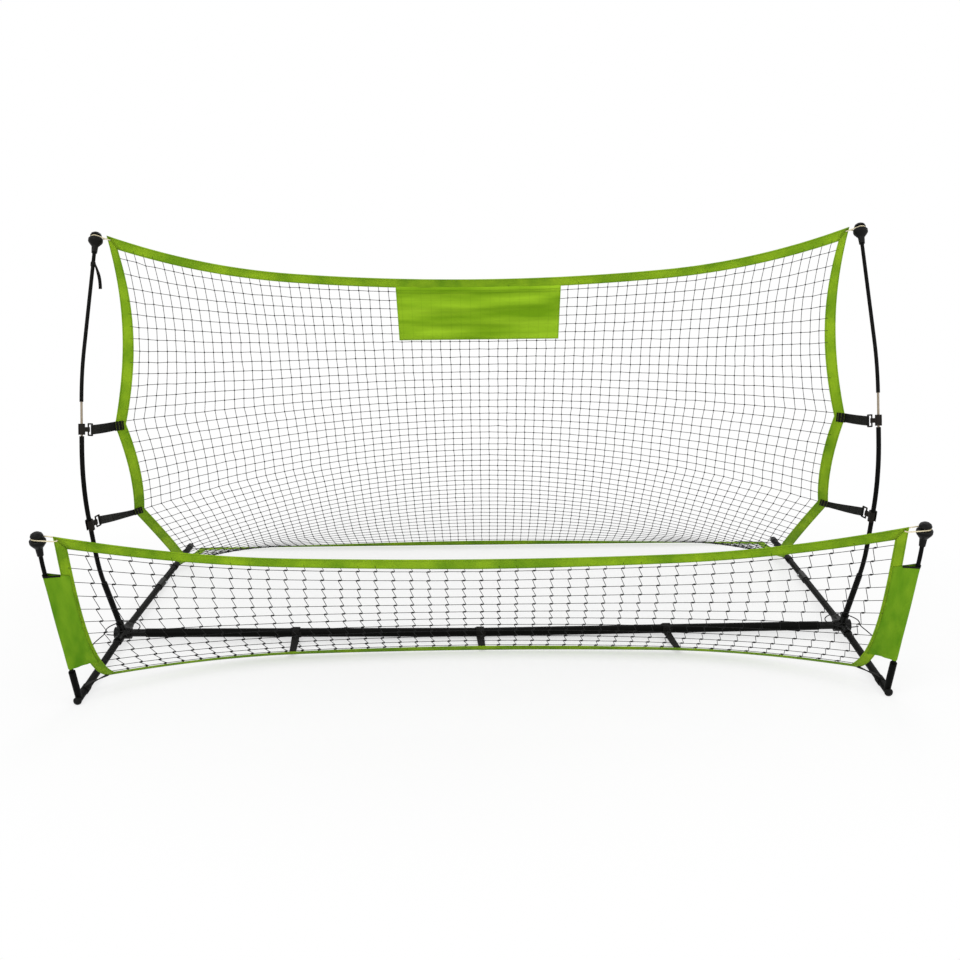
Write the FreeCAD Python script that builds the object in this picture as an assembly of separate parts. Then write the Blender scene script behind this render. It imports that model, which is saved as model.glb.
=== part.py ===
import FreeCAD, Part
import math
import os
from FreeCAD import Vector

# A two-sided football rebounder. Millimetres, +Z up, +X to the right and -Y to the low net's side.
# Everything is laid out from the line through the two hubs, and moved at the end
# so that the origin is at the middle of the footprint, on the ground.

Point2 = FreeCAD.Base.Vector2d

# Overall layout
half_width = 1025.0
hub_height = 24.0
front_reach = 381.0
rear_reach = 759.0
fit_clearance = 0.15
slide_clearance = 0.35
web_thickness = 1.6
web_width = 25.0

# Ground tubes
rail_radius = 9.5
rail_wall = 1.5
bar_radius = 12.5
bar_wall = 1.5
bar_joint_spigot_length = 160.0
coupling_distance = 387.0
coupling_length = 60.0
coupling_wall = 2.0
end_cap_wall = 1.2
end_cap_length = 24.0
end_plug_length = 15.0
cap_flat_depth = 0.5
bar_butt_gap = 0.3

# Hubs
hub_radius = 17.0
hub_core_length = 46.0
hub_socket_wall = 2.8
hub_socket_reach = 56.0
hub_socket_floor = 19.0
hub_spigot_reach = 128.0
bar_start = 66.0
hub_stub_reach = 46.0

# Snap buttons
button_radius = 3.8
button_travel = 4.0
button_offset = 15.0
button_flange_radius = 5.0
button_flange_thickness = 1.2
button_flange_gap = 0.4
button_spring_thickness = 0.6
button_spring_width = 5.0

# Tall poles: straight runs and bends, leaning forward where the angle is positive
tall_socket_radius = 8.0
tall_socket_length = 220.0
tall_pole_radius = 6.0
tall_rod_radius = 3.0
tall_upper_radius = 4.9
tall_lean_foot = 28.0
tall_foot_run = 225.0
tall_lean_lower_clip = 11.0
tall_lower_bend = 330.0
tall_lower_clip_run = 105.0
tall_lean_upper_clip = -17.0
tall_middle_bend = 400.0
tall_upper_clip_run = 110.0
tall_lean_top = -34.0
tall_upper_bend = 500.0
tall_top_run = 318.0
tall_root = 30.0
lower_clip_distance = 413.5
upper_clip_distance = 671.0
bare_rod_length = 89.0
upper_clip_stand_off = 4.0
rod_overlap = 60.0

# Front poles
front_socket_radius = 8.6
front_socket_length = 90.0
front_pole_radius = 5.0
front_pole_offset = 13.5
front_lean = 15.5
front_straight_run = 396.0
front_bend = 350.0
front_lean_top = 8.0
front_top_run = 41.0

# Pole caps, measured up from the foot of the cap
cap_neck_radius = 7.4
cap_neck_length = 19.0
cap_radius = 19.0
cap_belly_low = 32.0
cap_belly_high = 42.0
cap_groove_low = 42.6
cap_groove_high = 49.8
cap_groove_radius = 11.0
cap_dome_radius = 15.0
cap_height = 60.5
cap_bore_depth = 34.0

# Pole clips and strap rings
clip_radius = 10.5
clip_radius_on_rod = 8.5
clip_length = 28.0
clip_mouth = 8.0
clip_mouth_on_rod = 4.0
clip_swing = 33.0
ring_distance = 20.0
ring_length = 16.0
ring_bar_radius = 2.0
ring_eye_radius = 4.0
ring_eye_length = 12.0
ring_eye_clearance = 0.08
strap_patch_height = 26.0
strap_patch_inset = 0.5
lower_strap_drop = 51.2
upper_strap_drop = 27.1

# Nets
net_thickness = 2.0
border_thickness = 2.6
border_behind = 0.3
tall_net_gaps = (22, 12)
front_net_gaps = (24, 6)
gap_strand = 12.0
panel_width = 438.0
panel_height = 154.0
panel_thickness = 1.5
panel_below_border = 1.0
side_scallop = 30.9
middle_scallop = 7.6
low_scallop = 17.4
front_scallop = 2.0
corner_eye = 8.6
corner_eye_inset = 7.5
corner_rise = 3.5
tall_corner_inward = 27.0
tall_corner_back = 4.5
front_corner_inward = 38.0
front_corner_ahead = 4.3

# Soft straps and cords
bar_strap_spacing = 525.0
bar_strap_to_net = 2.0
front_strap_distance = 319.0
front_strap_angle = 80.0
rear_strap_angle = 20.0
corner_strap_width = 16.0
corner_strap_inset = 8.0
rear_loop_distance = 549.0
rear_tie_distance = 690.0
rear_loop_height = 22.0
elastic_radius = 1.5
tall_elastic_bow = 4.0
front_elastic_bow = 5.6
elastic_eye_place = 1.7
hub_cord_radius = 1.5
hub_cord_ring = 47.0
hub_cord_tail = (32.0, -34.0, -20.0)
hub_cord_tail_angle = -38.5
hub_cord_knot_radius = 3.9
tie_cord_radius = 1.5
tie_cord_place = 0.45
sleeve_top = 388.0
sleeve_bottom = 111.0
tie_strap_distance = 34.0
tie_strap_tail = (6.0, 2.0, -66.0)
tie_strap_width = 9.0
tie_strap_ring_width = 14.4

SIDES = {"left": -1.0, "right": 1.0}

# What follows from the sizes above
foot_cap_radius = rail_radius + end_cap_wall
rail_end_height = foot_cap_radius - cap_flat_depth
bar_middle_height = bar_radius + fit_clearance + web_thickness
hub_spigot_radius = bar_radius - bar_wall - fit_clearance
ring_height = web_width + 4 * (ring_bar_radius + fit_clearance)
cap_belly_middle = (cap_belly_low + cap_belly_high) / 2
cap_groove_middle = (cap_groove_low + cap_groove_high) / 2

solids = {}


def lean_direction(lean):
    """A direction in the YZ plane that leans forward by an angle from upright."""
    angle = math.radians(lean)
    return Vector(0, -math.sin(angle), math.cos(angle))


def rod(start, end, radius):
    axis = end - start
    return Part.makeCylinder(radius, axis.Length, start, axis)


def tube(start, end, radius, bore):
    return rod(start, end, radius).cut(rod(start, end, bore))


def along(start, end, distance):
    """The point on the way from start to end at a distance from start."""
    direction = (end - start).normalize()
    return start + direction * distance


def polygon(points):
    return Part.makePolygon(points + points[:1])


def loft(sections):
    """A solid through flat sections, straight from each to the next."""
    return Part.makeLoft([polygon(points) for points in sections], True, True)


def turned(profile, foot, axis):
    """A solid of revolution from (radius, height) points, set on an axis."""
    points = [Vector(radius, 0, height) for radius, height in profile]
    shape = Part.Face(polygon(points)).revolve(Vector(0, 0, 0), Vector(0, 0, 1), 360)
    rotation = FreeCAD.Rotation(Vector(0, 0, 1), axis)
    shape.Placement = FreeCAD.Placement(foot, rotation)
    return shape


def swept(path, radius, start, direction):
    circle = Part.Wire(Part.makeCircle(radius, start, direction))
    return path.makePipeShell([circle], True, False)


class PolePath:
    """A pole's centre line in the YZ plane: straight runs joined by bends that lean it back."""

    def __init__(self, start, lean):
        self.point = start
        self.lean = lean
        self.length = 0.0
        self.pieces = []

    def run(self, length):
        self.pieces.append((self.length, length, self.point, self.lean, None))
        self.point = self.point + lean_direction(self.lean) * length
        self.length += length

    def bend(self, new_lean, radius):
        length = radius * math.radians(self.lean - new_lean)
        self.pieces.append((self.length, length, self.point, self.lean, radius))
        self.point = self.at(self.length + length)
        self.lean = new_lean
        self.length += length

    def piece_at(self, distance):
        return [piece for piece in self.pieces if piece[0] <= distance + 1e-6][-1]

    def lean_at(self, distance):
        begin, _, _, lean, radius = self.piece_at(distance)
        return lean if radius is None else lean - math.degrees((distance - begin) / radius)

    def at(self, distance):
        begin, _, start, lean, radius = self.piece_at(distance)
        if radius is None:
            return start + lean_direction(lean) * (distance - begin)
        across = Vector(0, math.cos(math.radians(lean)), math.sin(math.radians(lean)))
        angle = math.radians(lean) - (distance - begin) / radius
        across_there = Vector(0, math.cos(angle), math.sin(angle))
        return start + (across - across_there) * radius

    def between(self, low, high):
        """The solid's centre line from one distance to another."""
        edges = []
        for begin, length, _, _, radius in self.pieces:
            first = max(begin, low)
            last = min(begin + length, high)
            if last - first < 1e-6:
                continue
            if radius is None:
                edges.append(Part.makeLine(self.at(first), self.at(last)))
            else:
                middle = self.at((first + last) / 2)
                edges.append(Part.Arc(self.at(first), middle, self.at(last)).toShape())
        return Part.Wire(edges)

    def rod(self, low, high, radius):
        return swept(self.between(low, high), radius, self.at(low), lean_direction(self.lean_at(low)))


class Cloth:
    """A smooth stretched surface over a net: five points across, several rows from foot to head.

    Each row has a point at the side edge, a point in the middle, and a fullness:
    0 keeps the row level with the middle until near the sides, 0.5 makes it a parabola.
    """

    ACROSS = (-1.0, -0.75, 0.0, 0.75, 1.0)

    def __init__(self, rows, normal_angle):
        self.normal = Vector(0, math.sin(normal_angle), math.cos(normal_angle))
        grid = []
        for column, share in enumerate(self.ACROSS):
            grid.append([self.pole(row, column, share) for row in rows])
        self.surface = Part.BSplineSurface()
        count = len(rows)
        across_knots = [0.0, 0.25, 0.75, 1.0]
        across_counts = [3, 1, 1, 3]
        self.surface.buildFromPolesMultsKnots(grid, across_counts, [count, count], across_knots, [0.0, 1.0],
                                              False, False, 2, count - 1)

    def pole(self, row, column, share):
        (edge_x, edge_y, edge_z), (mid_y, mid_z), fullness = row
        weight = {0: 1.0, 1: fullness, 2: -fullness / 2, 3: fullness, 4: 1.0}[column]
        y = mid_y + (edge_y - mid_y) * weight
        z = mid_z + (edge_z - mid_z) * weight
        return Vector(edge_x * share, y, z)

    def at(self, u, v):
        return self.surface.value(u, v)

    def height_share(self, height):
        """How far up the side edge, from 0 to 1, the edge passes a height."""
        low, high = 0.0, 1.0
        for _ in range(40):
            middle = (low + high) / 2
            if self.at(0.0, middle).z < height:
                low = middle
            else:
                high = middle
        return low

    def wide(self, width, v):
        """A width across the cloth as a share of the row at v."""
        step = 0.02
        return width * step / (self.at(step, v) - self.at(0.0, v)).Length

    def wide_in_middle(self, width, v):
        """A width across the middle of the cloth as a share of the row at v."""
        step = 0.25
        return width * step / (self.at(0.5 + step, v) - self.at(0.5, v)).Length

    def tall(self, height, u, v):
        """A height up the cloth as a share, near a point."""
        step = 0.01
        low = min(max(v - step / 2, 0.0), 1.0 - step)
        return height * step / (self.at(u, low + step) - self.at(u, low)).Length

    def line(self, start, end):
        return Part.Geom2d.Line2dSegment(Point2(*start), Point2(*end)).toShape(self.surface)

    def curve(self, start, middle, end):
        """A smooth curve whose middle control point is given."""
        bezier = Part.Geom2d.BezierCurve2d()
        bezier.setPoles([Point2(*start), Point2(*middle), Point2(*end)])
        return bezier.toShape(self.surface)

    def loop(self, points):
        return Part.Wire([self.line(a, b) for a, b in zip(points, points[1:] + points[:1])])

    def slab(self, outline, holes, behind, thickness):
        """The piece of cloth inside an outline, thickened along the cloth's normal."""
        face = Part.Face(self.surface, outline)
        if holes:
            face.cutHoles(holes)
        face.translate(self.normal * behind)
        return face.extrude(self.normal * thickness)


class NetPlan:
    """The outline of one net on its cloth, in shares across (u) and up (v)."""

    def __init__(self, cloth, stations, scallops):
        self.cloth = cloth
        self.stations = stations
        self.scallops = scallops

    def side(self, inset, mirror):
        """The side edges, from foot to head, drawn in between the stations."""
        edges = []
        pairs = list(zip(self.stations, self.stations[1:]))
        for (low, high), scallop in zip(pairs, self.scallops):
            middle = (low + high) / 2
            first = (self.share(inset, low, mirror), self.clip(low, inset))
            last = (self.share(inset, high, mirror), self.clip(high, inset))
            pull = (self.share(inset + 2 * scallop, middle, mirror), middle)
            edges.append(self.cloth.curve(first, pull, last))
        return edges

    def share(self, width, v, mirror):
        share = self.cloth.wide(width, v)
        return 1.0 - share if mirror else share

    def clip(self, v, inset):
        """At the foot and the head the inset also counts upwards."""
        if inset == 0 or 0.0 < v < 1.0:
            return v
        share = self.cloth.tall(inset, 0.0, v)
        return share if v == 0.0 else 1.0 - share

    def level(self, inset, v):
        """The points of the foot or head edge from left to right."""
        points = [(self.share(inset, v, False), self.clip(v, inset))]
        if inset:
            share = self.cloth.tall(inset, 0.5, v)
            points.append((0.5, share if v == 0.0 else 1.0 - share))
        points.append((self.share(inset, v, True), self.clip(v, inset)))
        return points

    def outline(self, inset, clockwise=False):
        foot = self.level(inset, 0.0)
        head = self.level(inset, 1.0)[::-1]
        edges = [self.cloth.line(a, b) for a, b in zip(foot, foot[1:])]
        edges += self.side(inset, True)
        edges += [self.cloth.line(a, b) for a, b in zip(head, head[1:])]
        edges += self.side(inset, False)
        wire = Part.Wire(Part.__sortEdges__(edges))
        if clockwise:
            wire.reverse()
        return wire

    def gaps(self, columns, rows, strand, shift):
        """Rows of four-sided gaps inside the border; shift moves every second row sideways."""
        left = self.cloth.wide(web_width + side_scallop + strand, 0.5)
        foot = self.cloth.tall(web_width + strand, 0.5, 0.0)
        head = 1.0 - self.cloth.tall(web_width + strand, 0.5, 1.0)
        column_share = (1.0 - 2 * left) / columns
        row_share = (head - foot) / rows
        bar_share = self.cloth.wide(strand, 0.5)
        strand_share = self.cloth.tall(strand, 0.5, 0.5)
        wires = []
        for row in range(rows):
            moved = shift * (row % 2)
            low = foot + row_share * row + strand_share / 2
            high = foot + row_share * (row + 1) - strand_share / 2
            for column in range(columns - (1 if moved else 0)):
                start = left + column_share * (column + moved) + bar_share / 2
                stop = left + column_share * (column + 1 + moved) - bar_share / 2
                wires.append(self.cloth.loop([(start, low), (start, high), (stop, high), (stop, low)]))
        return wires


# Where the tubes meet the ground and each other

def hub_point(side):
    return Vector(side * half_width, 0, hub_height)


def foot_point(side):
    return Vector(side * half_width, -front_reach, rail_end_height)


def tip_point(side):
    return Vector(side * half_width, rear_reach, rail_end_height)


def bar_middle():
    return Vector(0, 0, bar_middle_height)


def tall_path(side):
    path = PolePath(hub_point(side), tall_lean_foot)
    path.run(tall_foot_run)
    path.bend(tall_lean_lower_clip, tall_lower_bend)
    path.run(tall_lower_clip_run)
    path.bend(tall_lean_upper_clip, tall_middle_bend)
    path.run(tall_upper_clip_run)
    path.bend(tall_lean_top, tall_upper_bend)
    path.run(tall_top_run)
    return path


def front_path(side):
    start = along(foot_point(side), hub_point(side), front_pole_offset)
    path = PolePath(start, front_lean)
    path.run(front_straight_run)
    path.bend(front_lean_top, front_bend)
    path.run(front_top_run)
    return path


# Ground frame

def make_crossbar():
    middle = bar_middle()
    for name, side in SIDES.items():
        start = along(hub_point(side), middle, bar_start)
        half = tube(start, along(middle, start, bar_butt_gap), bar_radius, bar_radius - bar_wall)
        solids["crossbar_" + name] = half
    left = along(middle, hub_point(-1), bar_joint_spigot_length / 2)
    right = along(middle, hub_point(1), bar_joint_spigot_length / 2)
    halves = [rod(middle, left, hub_spigot_radius), rod(middle, right, hub_spigot_radius)]
    solids["crossbar_joint_spigot"] = halves[0].fuse(halves[1]).removeSplitter()


def make_hub(name, side):
    centre = hub_point(side)
    half_core = Vector(hub_core_length / 2, 0, 0)
    hub = rod(centre - half_core, centre + half_core, hub_radius)
    spigot_end = along(centre, bar_middle(), hub_spigot_reach)
    hub = hub.fuse(rod(centre, spigot_end, hub_spigot_radius))
    for end in (foot_point(side), tip_point(side)):
        mouth = along(centre, end, hub_socket_reach)
        hub = hub.fuse(rod(centre, mouth, rail_radius + hub_socket_wall))
    stub_direction = lean_direction(tall_lean_foot)
    stub_end = centre + stub_direction * hub_stub_reach
    hub = hub.fuse(rod(centre, stub_end, tall_socket_radius + hub_socket_wall))
    for end in (foot_point(side), tip_point(side)):
        floor = along(centre, end, hub_socket_floor)
        mouth = along(centre, end, hub_socket_reach + 1)
        hub = hub.cut(rod(floor, mouth, rail_radius + fit_clearance))
    floor = centre + stub_direction * hub_socket_floor
    mouth = centre + stub_direction * (hub_stub_reach + 1)
    hub = hub.cut(rod(floor, mouth, tall_socket_radius + fit_clearance))
    solids["hub_" + name] = hub.removeSplitter()


def make_rails(name, side):
    centre = hub_point(side)
    foot = foot_point(side)
    tip = tip_point(side)
    bore = rail_radius - rail_wall
    start = along(centre, foot, hub_socket_floor)
    solids["front_rail_" + name] = tube(start, along(foot, centre, end_cap_wall), rail_radius, bore)

    # The rear rail is in two sections that butt inside the coupling
    start = along(centre, tip, hub_socket_floor)
    joint = along(centre, tip, coupling_distance)
    end = along(tip, centre, end_cap_wall)
    inner = tube(start, joint, rail_radius, bore)
    outer = tube(joint, end, rail_radius, bore)
    sleeve_start = along(joint, centre, coupling_length / 2)
    sleeve_end = along(joint, tip, coupling_length / 2)
    sleeve_bore = rail_radius + fit_clearance
    sleeve = tube(sleeve_start, sleeve_end, sleeve_bore + coupling_wall, sleeve_bore)

    # One round hole through the sleeve and the outer section holds the snap button
    button_centre = along(joint, tip, button_offset)
    inward = Vector(-side, 0, 0)
    hole = rod(button_centre, button_centre + inward * 30, button_radius + 0.2)
    solids["rear_rail_inner_" + name] = inner
    solids["rear_rail_outer_" + name] = outer.cut(hole)
    solids["rail_coupling_" + name] = sleeve.cut(hole)
    make_button(name, button_centre, inward, bore, sleeve_bore + coupling_wall)


def make_button(name, centre, inward, tube_bore, sleeve_radius):
    # The flange is flat, so its rim meets the round wall before its middle does
    rim_depth = math.sqrt(tube_bore ** 2 - button_flange_radius ** 2)
    flange_top = rim_depth - button_flange_gap
    flange_foot = flange_top - button_flange_thickness
    head = sleeve_radius + button_travel
    pin = rod(centre + inward * flange_foot, centre + inward * head, button_radius)
    flange = rod(centre + inward * flange_foot, centre + inward * flange_top, button_flange_radius)
    button = pin.fuse(flange).removeSplitter()
    crown = [edge for edge in button.Edges if abs((edge.CenterOfMass - centre).dot(inward) - head) < 0.01]
    solids["snap_button_" + name] = button.makeFillet(button_radius * 0.4, crown)

    # A folded leaf spring from the back of the flange to the far wall
    half = button_spring_width / 2
    thickness = button_spring_thickness
    far = -math.sqrt(tube_bore ** 2 - half ** 2) + 2 * fit_clearance
    near = flange_foot - fit_clearance
    reach = 34.0
    fold = [(near, -half), (near, reach + thickness), (far, reach + thickness), (far, 0.0),
            (far + thickness, 0.0), (far + thickness, reach), (near - thickness, reach),
            (near - thickness, -half)]
    points = [centre + inward * depth + Vector(0, run, -half) for depth, run in fold]
    solids["button_spring_" + name] = Part.Face(polygon(points)).extrude(Vector(0, 0, 2 * half))


def end_cap(end, inside, skirt):
    """A cap with a domed nose and a flat to stand on.

    Its skirt goes over the tube or, as a plug, inside it.
    """
    radius = foot_cap_radius
    nose = radius * 0.55
    dome = [(radius, 0.0), (radius - nose * 0.3, nose * 0.62), (radius - nose, nose), (0.0, nose)]
    cap = turned(skirt + dome, end, (end - inside).normalize())
    below = Vector(end.x, end.y, -radius / 2)
    ground = block(below, Vector(4 * radius, 0, 0), Vector(0, 8 * radius, 0), Vector(0, 0, radius))
    return cap.cut(ground)


def make_end_caps():
    feet = []
    tips = []
    for side in SIDES.values():
        centre = hub_point(side)
        plug_radius = rail_radius - rail_wall - fit_clearance
        plug = [(0.0, -end_plug_length), (plug_radius, -end_plug_length), (plug_radius, -end_cap_wall),
                (foot_cap_radius, -end_cap_wall)]
        sleeve = [(0.0, -end_cap_wall), (rail_radius, -end_cap_wall), (rail_radius, -end_cap_length),
                  (foot_cap_radius, -end_cap_length)]
        feet.append(end_cap(foot_point(side), centre, plug))
        tips.append(end_cap(tip_point(side), centre, sleeve))
    solids["front_foot_caps"] = Part.makeCompound(feet)
    solids["rear_end_caps"] = Part.makeCompound(tips)


# Poles and what sits on them

def make_tall_pole(name, side):
    path = tall_path(side)
    lower_end = upper_clip_distance - clip_length / 2 - upper_clip_stand_off
    rod_end = lower_end + bare_rod_length
    top = path.length - cap_belly_middle + cap_bore_depth
    socket_start = path.at(hub_socket_floor)
    socket_end = path.at(tall_socket_length)
    socket_bore = tall_pole_radius + fit_clearance
    rod_bore = tall_rod_radius + fit_clearance
    socket = rod(socket_start, socket_end, tall_socket_radius)
    socket = socket.cut(rod(path.at(tall_root - fit_clearance), path.at(tall_socket_length + 1), socket_bore))
    lower = path.rod(tall_root, lower_end, tall_pole_radius)
    lower = lower.cut(path.rod(lower_end - rod_overlap - fit_clearance, lower_end, rod_bore))
    joining = path.rod(lower_end - rod_overlap, rod_end + rod_overlap, tall_rod_radius)
    upper = path.rod(rod_end, top, tall_upper_radius)
    upper = upper.cut(path.rod(rod_end, rod_end + rod_overlap + fit_clearance, rod_bore))
    solids["tall_pole_socket_" + name] = socket
    solids["tall_pole_lower_" + name] = lower
    solids["tall_pole_joining_rod_" + name] = joining
    solids["tall_pole_upper_" + name] = upper
    solids["tall_pole_cap_" + name] = pole_cap(path, tall_upper_radius)


def make_front_pole(name, side):
    path = front_path(side)
    centre = hub_point(side)
    foot = foot_point(side)
    floor = rail_radius + 2.0
    socket = rod(path.at(0), path.at(front_socket_length), front_socket_radius)
    socket = socket.cut(rod(centre, foot, rail_radius))
    mouth = path.at(front_socket_length + 1)
    socket = socket.cut(rod(path.at(floor), mouth, front_pole_radius + fit_clearance))
    socket = max(socket.Solids, key=lambda solid: solid.Volume)
    top = path.length - cap_belly_middle + cap_bore_depth
    solids["front_pole_socket_" + name] = socket
    solids["front_pole_" + name] = path.rod(floor + fit_clearance, top, front_pole_radius)
    solids["front_pole_cap_" + name] = pole_cap(path, front_pole_radius)


def cap_foot_distance(path):
    return path.length - cap_belly_middle


def pole_cap(path, pole_radius):
    """A mushroom cap with a neck and, near its top, a groove for the elastic loop."""
    bore = pole_radius + fit_clearance
    depth = cap_bore_depth + fit_clearance
    profile = [
        (bore, 0.0), (cap_neck_radius, 0.0), (cap_neck_radius + 1.4, cap_neck_length),
        (cap_radius - 1.5, cap_belly_low - 1.5), (cap_radius, cap_belly_low + 1.5),
        (cap_radius, cap_belly_high - 2.0), (cap_radius - 1.5, cap_belly_high),
        (cap_dome_radius, cap_groove_low), (cap_groove_radius, cap_groove_low),
        (cap_groove_radius, cap_groove_high), (cap_dome_radius, cap_groove_high),
        (cap_dome_radius, cap_groove_high + 1.5), (cap_dome_radius - 2.0, cap_height - 4.5),
        (cap_dome_radius - 7.0, cap_height - 1.0), (0.0, cap_height), (0.0, depth), (bore, depth)]
    foot = cap_foot_distance(path)
    return turned(profile, path.at(foot), lean_direction(path.lean_at(foot + 1)))


def clip_frame(path, side, distance):
    """A clip's centre, its pole direction and the level direction of its strap."""
    centre = path.at(distance)
    up = lean_direction(path.lean_at(distance))
    swing = math.radians(clip_swing)
    flat = Vector(-side * math.sin(swing), math.cos(swing), 0)
    outward = (flat - up * flat.dot(up)).normalize()
    return centre, up, outward


def make_clip(name, path, side, distance, radius, bore, mouth_width):
    centre, up, outward = clip_frame(path, side, distance)
    half = up * (clip_length / 2)
    sideways = up.cross(outward)
    clip = rod(centre - half, centre + half, radius)
    eye_centre = centre + outward * ring_distance
    eye_half = up * (ring_eye_length / 2)
    lug_middle = centre + outward * (ring_distance / 2)
    lug_width = sideways * (ring_eye_radius * 2)
    lug = block(lug_middle, outward * ring_distance, lug_width, up * ring_eye_length)
    clip = clip.fuse(lug).fuse(rod(eye_centre - eye_half, eye_centre + eye_half, ring_eye_radius))
    clip = clip.cut(rod(centre - half * 1.1, centre + half * 1.1, bore))
    mouth_height = up * (clip_length * 1.1)
    mouth = block(centre - outward * radius, outward * (2 * radius), sideways * mouth_width, mouth_height)
    clip = clip.cut(mouth)
    eye_bore = ring_bar_radius + ring_eye_clearance
    clip = clip.cut(rod(eye_centre - eye_half * 1.1, eye_centre + eye_half * 1.1, eye_bore))
    solids["pole_clip_" + name] = clip.removeSplitter()

    far_centre = centre + outward * (ring_distance + ring_length - 2 * ring_bar_radius)
    bar_half = up * (ring_height / 2 - ring_bar_radius)
    corners = [eye_centre - bar_half, eye_centre + bar_half, far_centre + bar_half, far_centre - bar_half]
    ring = Part.makeSphere(ring_bar_radius, corners[0])
    for start, end in zip(corners, corners[1:] + corners[:1]):
        ring = ring.fuse(rod(start, end, ring_bar_radius))
        ring = ring.fuse(Part.makeSphere(ring_bar_radius, end))
    solids["strap_ring_" + name] = ring.removeSplitter()
    return far_centre, up, outward


def block(centre, length, width, height):
    """A box from its centre and its three edge vectors."""
    corner = centre - length * 0.5 - width * 0.5 - height * 0.5
    base = polygon([corner, corner + length, corner + length + width, corner + width])
    return Part.Face(base).extrude(height)


# Nets, borders and what is sewn to them

def tall_cloth():
    top = groove_centre(tall_path(1))
    corner = (half_width - tall_corner_inward, top.y + tall_corner_back, top.z + corner_rise)
    rows = [
        ((half_width - 35.0, rear_reach - 2.0, 2.0), (rear_reach + 1.0, 2.0), 0.5),
        ((half_width + 16.0, 432.0, 18.0), (594.0, 183.0), 0.5),
        ((half_width - 47.0, 349.5, -9.5), (394.0, 332.0), 0.5),
        ((half_width - 38.0, -365.5, 646.5), (275.0, 550.0), 0.5),
        ((half_width - 39.0, 113.5, 718.5), (194.0, 774.5), 0.5),
        (corner, (80.0, 1002.5), 0.32),
    ]
    return Cloth(rows, math.radians(56.0))


def groove_centre(path):
    """The middle of the elastic's groove in a pole's cap."""
    return path.at(cap_foot_distance(path)) + lean_direction(path.lean) * cap_groove_middle


def front_cloth():
    top = groove_centre(front_path(1))
    corner = (half_width - front_corner_inward, top.y - front_corner_ahead, top.z + corner_rise)
    rows = [
        ((half_width - 46.0, -281.0, 31.0), (-94.0, 3.0), 0.2),
        ((half_width - 25.0, -423.0, 110.0), (-190.0, 95.0), 0.5),
        ((half_width - 30.0, -453.5, 326.0), (-251.0, 215.0), 0.55),
        (corner, (-276.0, 340.0), 0.23),
    ]
    return Cloth(rows, math.radians(55.0))


def make_net(prefix, plan, gap_counts, shift):
    cloth = plan.cloth
    gaps = plan.gaps(gap_counts[0], gap_counts[1], gap_strand, shift)
    inner = plan.outline(web_width)
    solids[prefix + "_net"] = cloth.slab(inner, gaps, 0.0, net_thickness)
    holes = [plan.outline(web_width, clockwise=True)]
    for mirror in (False, True):
        holes.append(corner_hole(plan, mirror))
    border = cloth.slab(plan.outline(0.0), holes, -border_behind, border_thickness)
    solids[prefix + "_net_border"] = border


def corner_hole(plan, mirror):
    """The eye in a head corner of the border, which the elastic loop goes through."""
    near = corner_eye_inset - corner_eye / 2
    far = corner_eye_inset + corner_eye / 2
    left = plan.share(near, 1.0, mirror)
    right = plan.share(far, 1.0, mirror)
    high = 1.0 - plan.cloth.tall(near, 0.0, 1.0)
    low = 1.0 - plan.cloth.tall(far, 0.0, 1.0)
    if mirror:
        left, right = right, left
    return plan.cloth.loop([(left, low), (left, high), (right, high), (right, low)])


def make_target_panel(plan):
    cloth = plan.cloth
    head = 1.0 - cloth.tall(web_width + panel_below_border, 0.5, 1.0)
    foot = head - cloth.tall(panel_height, 0.5, head)
    across = cloth.wide_in_middle(panel_width / 2, head)
    left, right = 0.5 - across, 0.5 + across
    outline = cloth.loop([(left, foot), (right, foot), (right, head), (left, head)])
    solids["target_panel"] = cloth.slab(outline, [], -panel_thickness - fit_clearance, panel_thickness)


def make_side_strap(name, plan, mirror, ring, station):
    """A strap from the ring's far bar to a patch sewn on the border."""
    bar_centre, up, outward = ring
    cloth = plan.cloth
    half = up * (web_width / 2)
    eye = rod(bar_centre - half, bar_centre + half, ring_bar_radius + fit_clearance + web_thickness)
    sideways = up.cross(outward) * web_thickness
    u_edge = plan.share(strap_patch_inset, station, mirror)
    u_far = plan.share(web_width - 2 * strap_patch_inset, station, mirror)
    half_share = cloth.tall(strap_patch_height / 2, 0.0, station)
    low = cloth.at(u_edge, station - half_share)
    high = cloth.at(u_edge, station + half_share)
    behind = -cloth.normal * (border_behind + fit_clearance)
    depth = -cloth.normal * web_thickness
    near = bar_centre + outward * ring_bar_radius
    start = [near - half - sideways, near + half - sideways, near + half + sideways, near - half + sideways]
    end = [low + behind, high + behind, high + behind + depth, low + behind + depth]
    if (end[3] - end[0]).dot(sideways) < 0:
        end = [end[3], end[2], end[1], end[0]]
    strap = eye.fuse(loft([start, end]))
    strap = strap.cut(rod(bar_centre - half * 1.1, bar_centre + half * 1.1, ring_bar_radius + fit_clearance))
    inner, outer = min(u_edge, u_far), max(u_edge, u_far)
    outline = cloth.loop([(inner, station - half_share), (outer, station - half_share),
                          (outer, station + half_share), (inner, station + half_share)])
    patch = cloth.slab(outline, [], -border_behind - fit_clearance - web_thickness, web_thickness)
    solids["side_strap_" + name] = Part.makeCompound([strap, patch])


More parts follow.
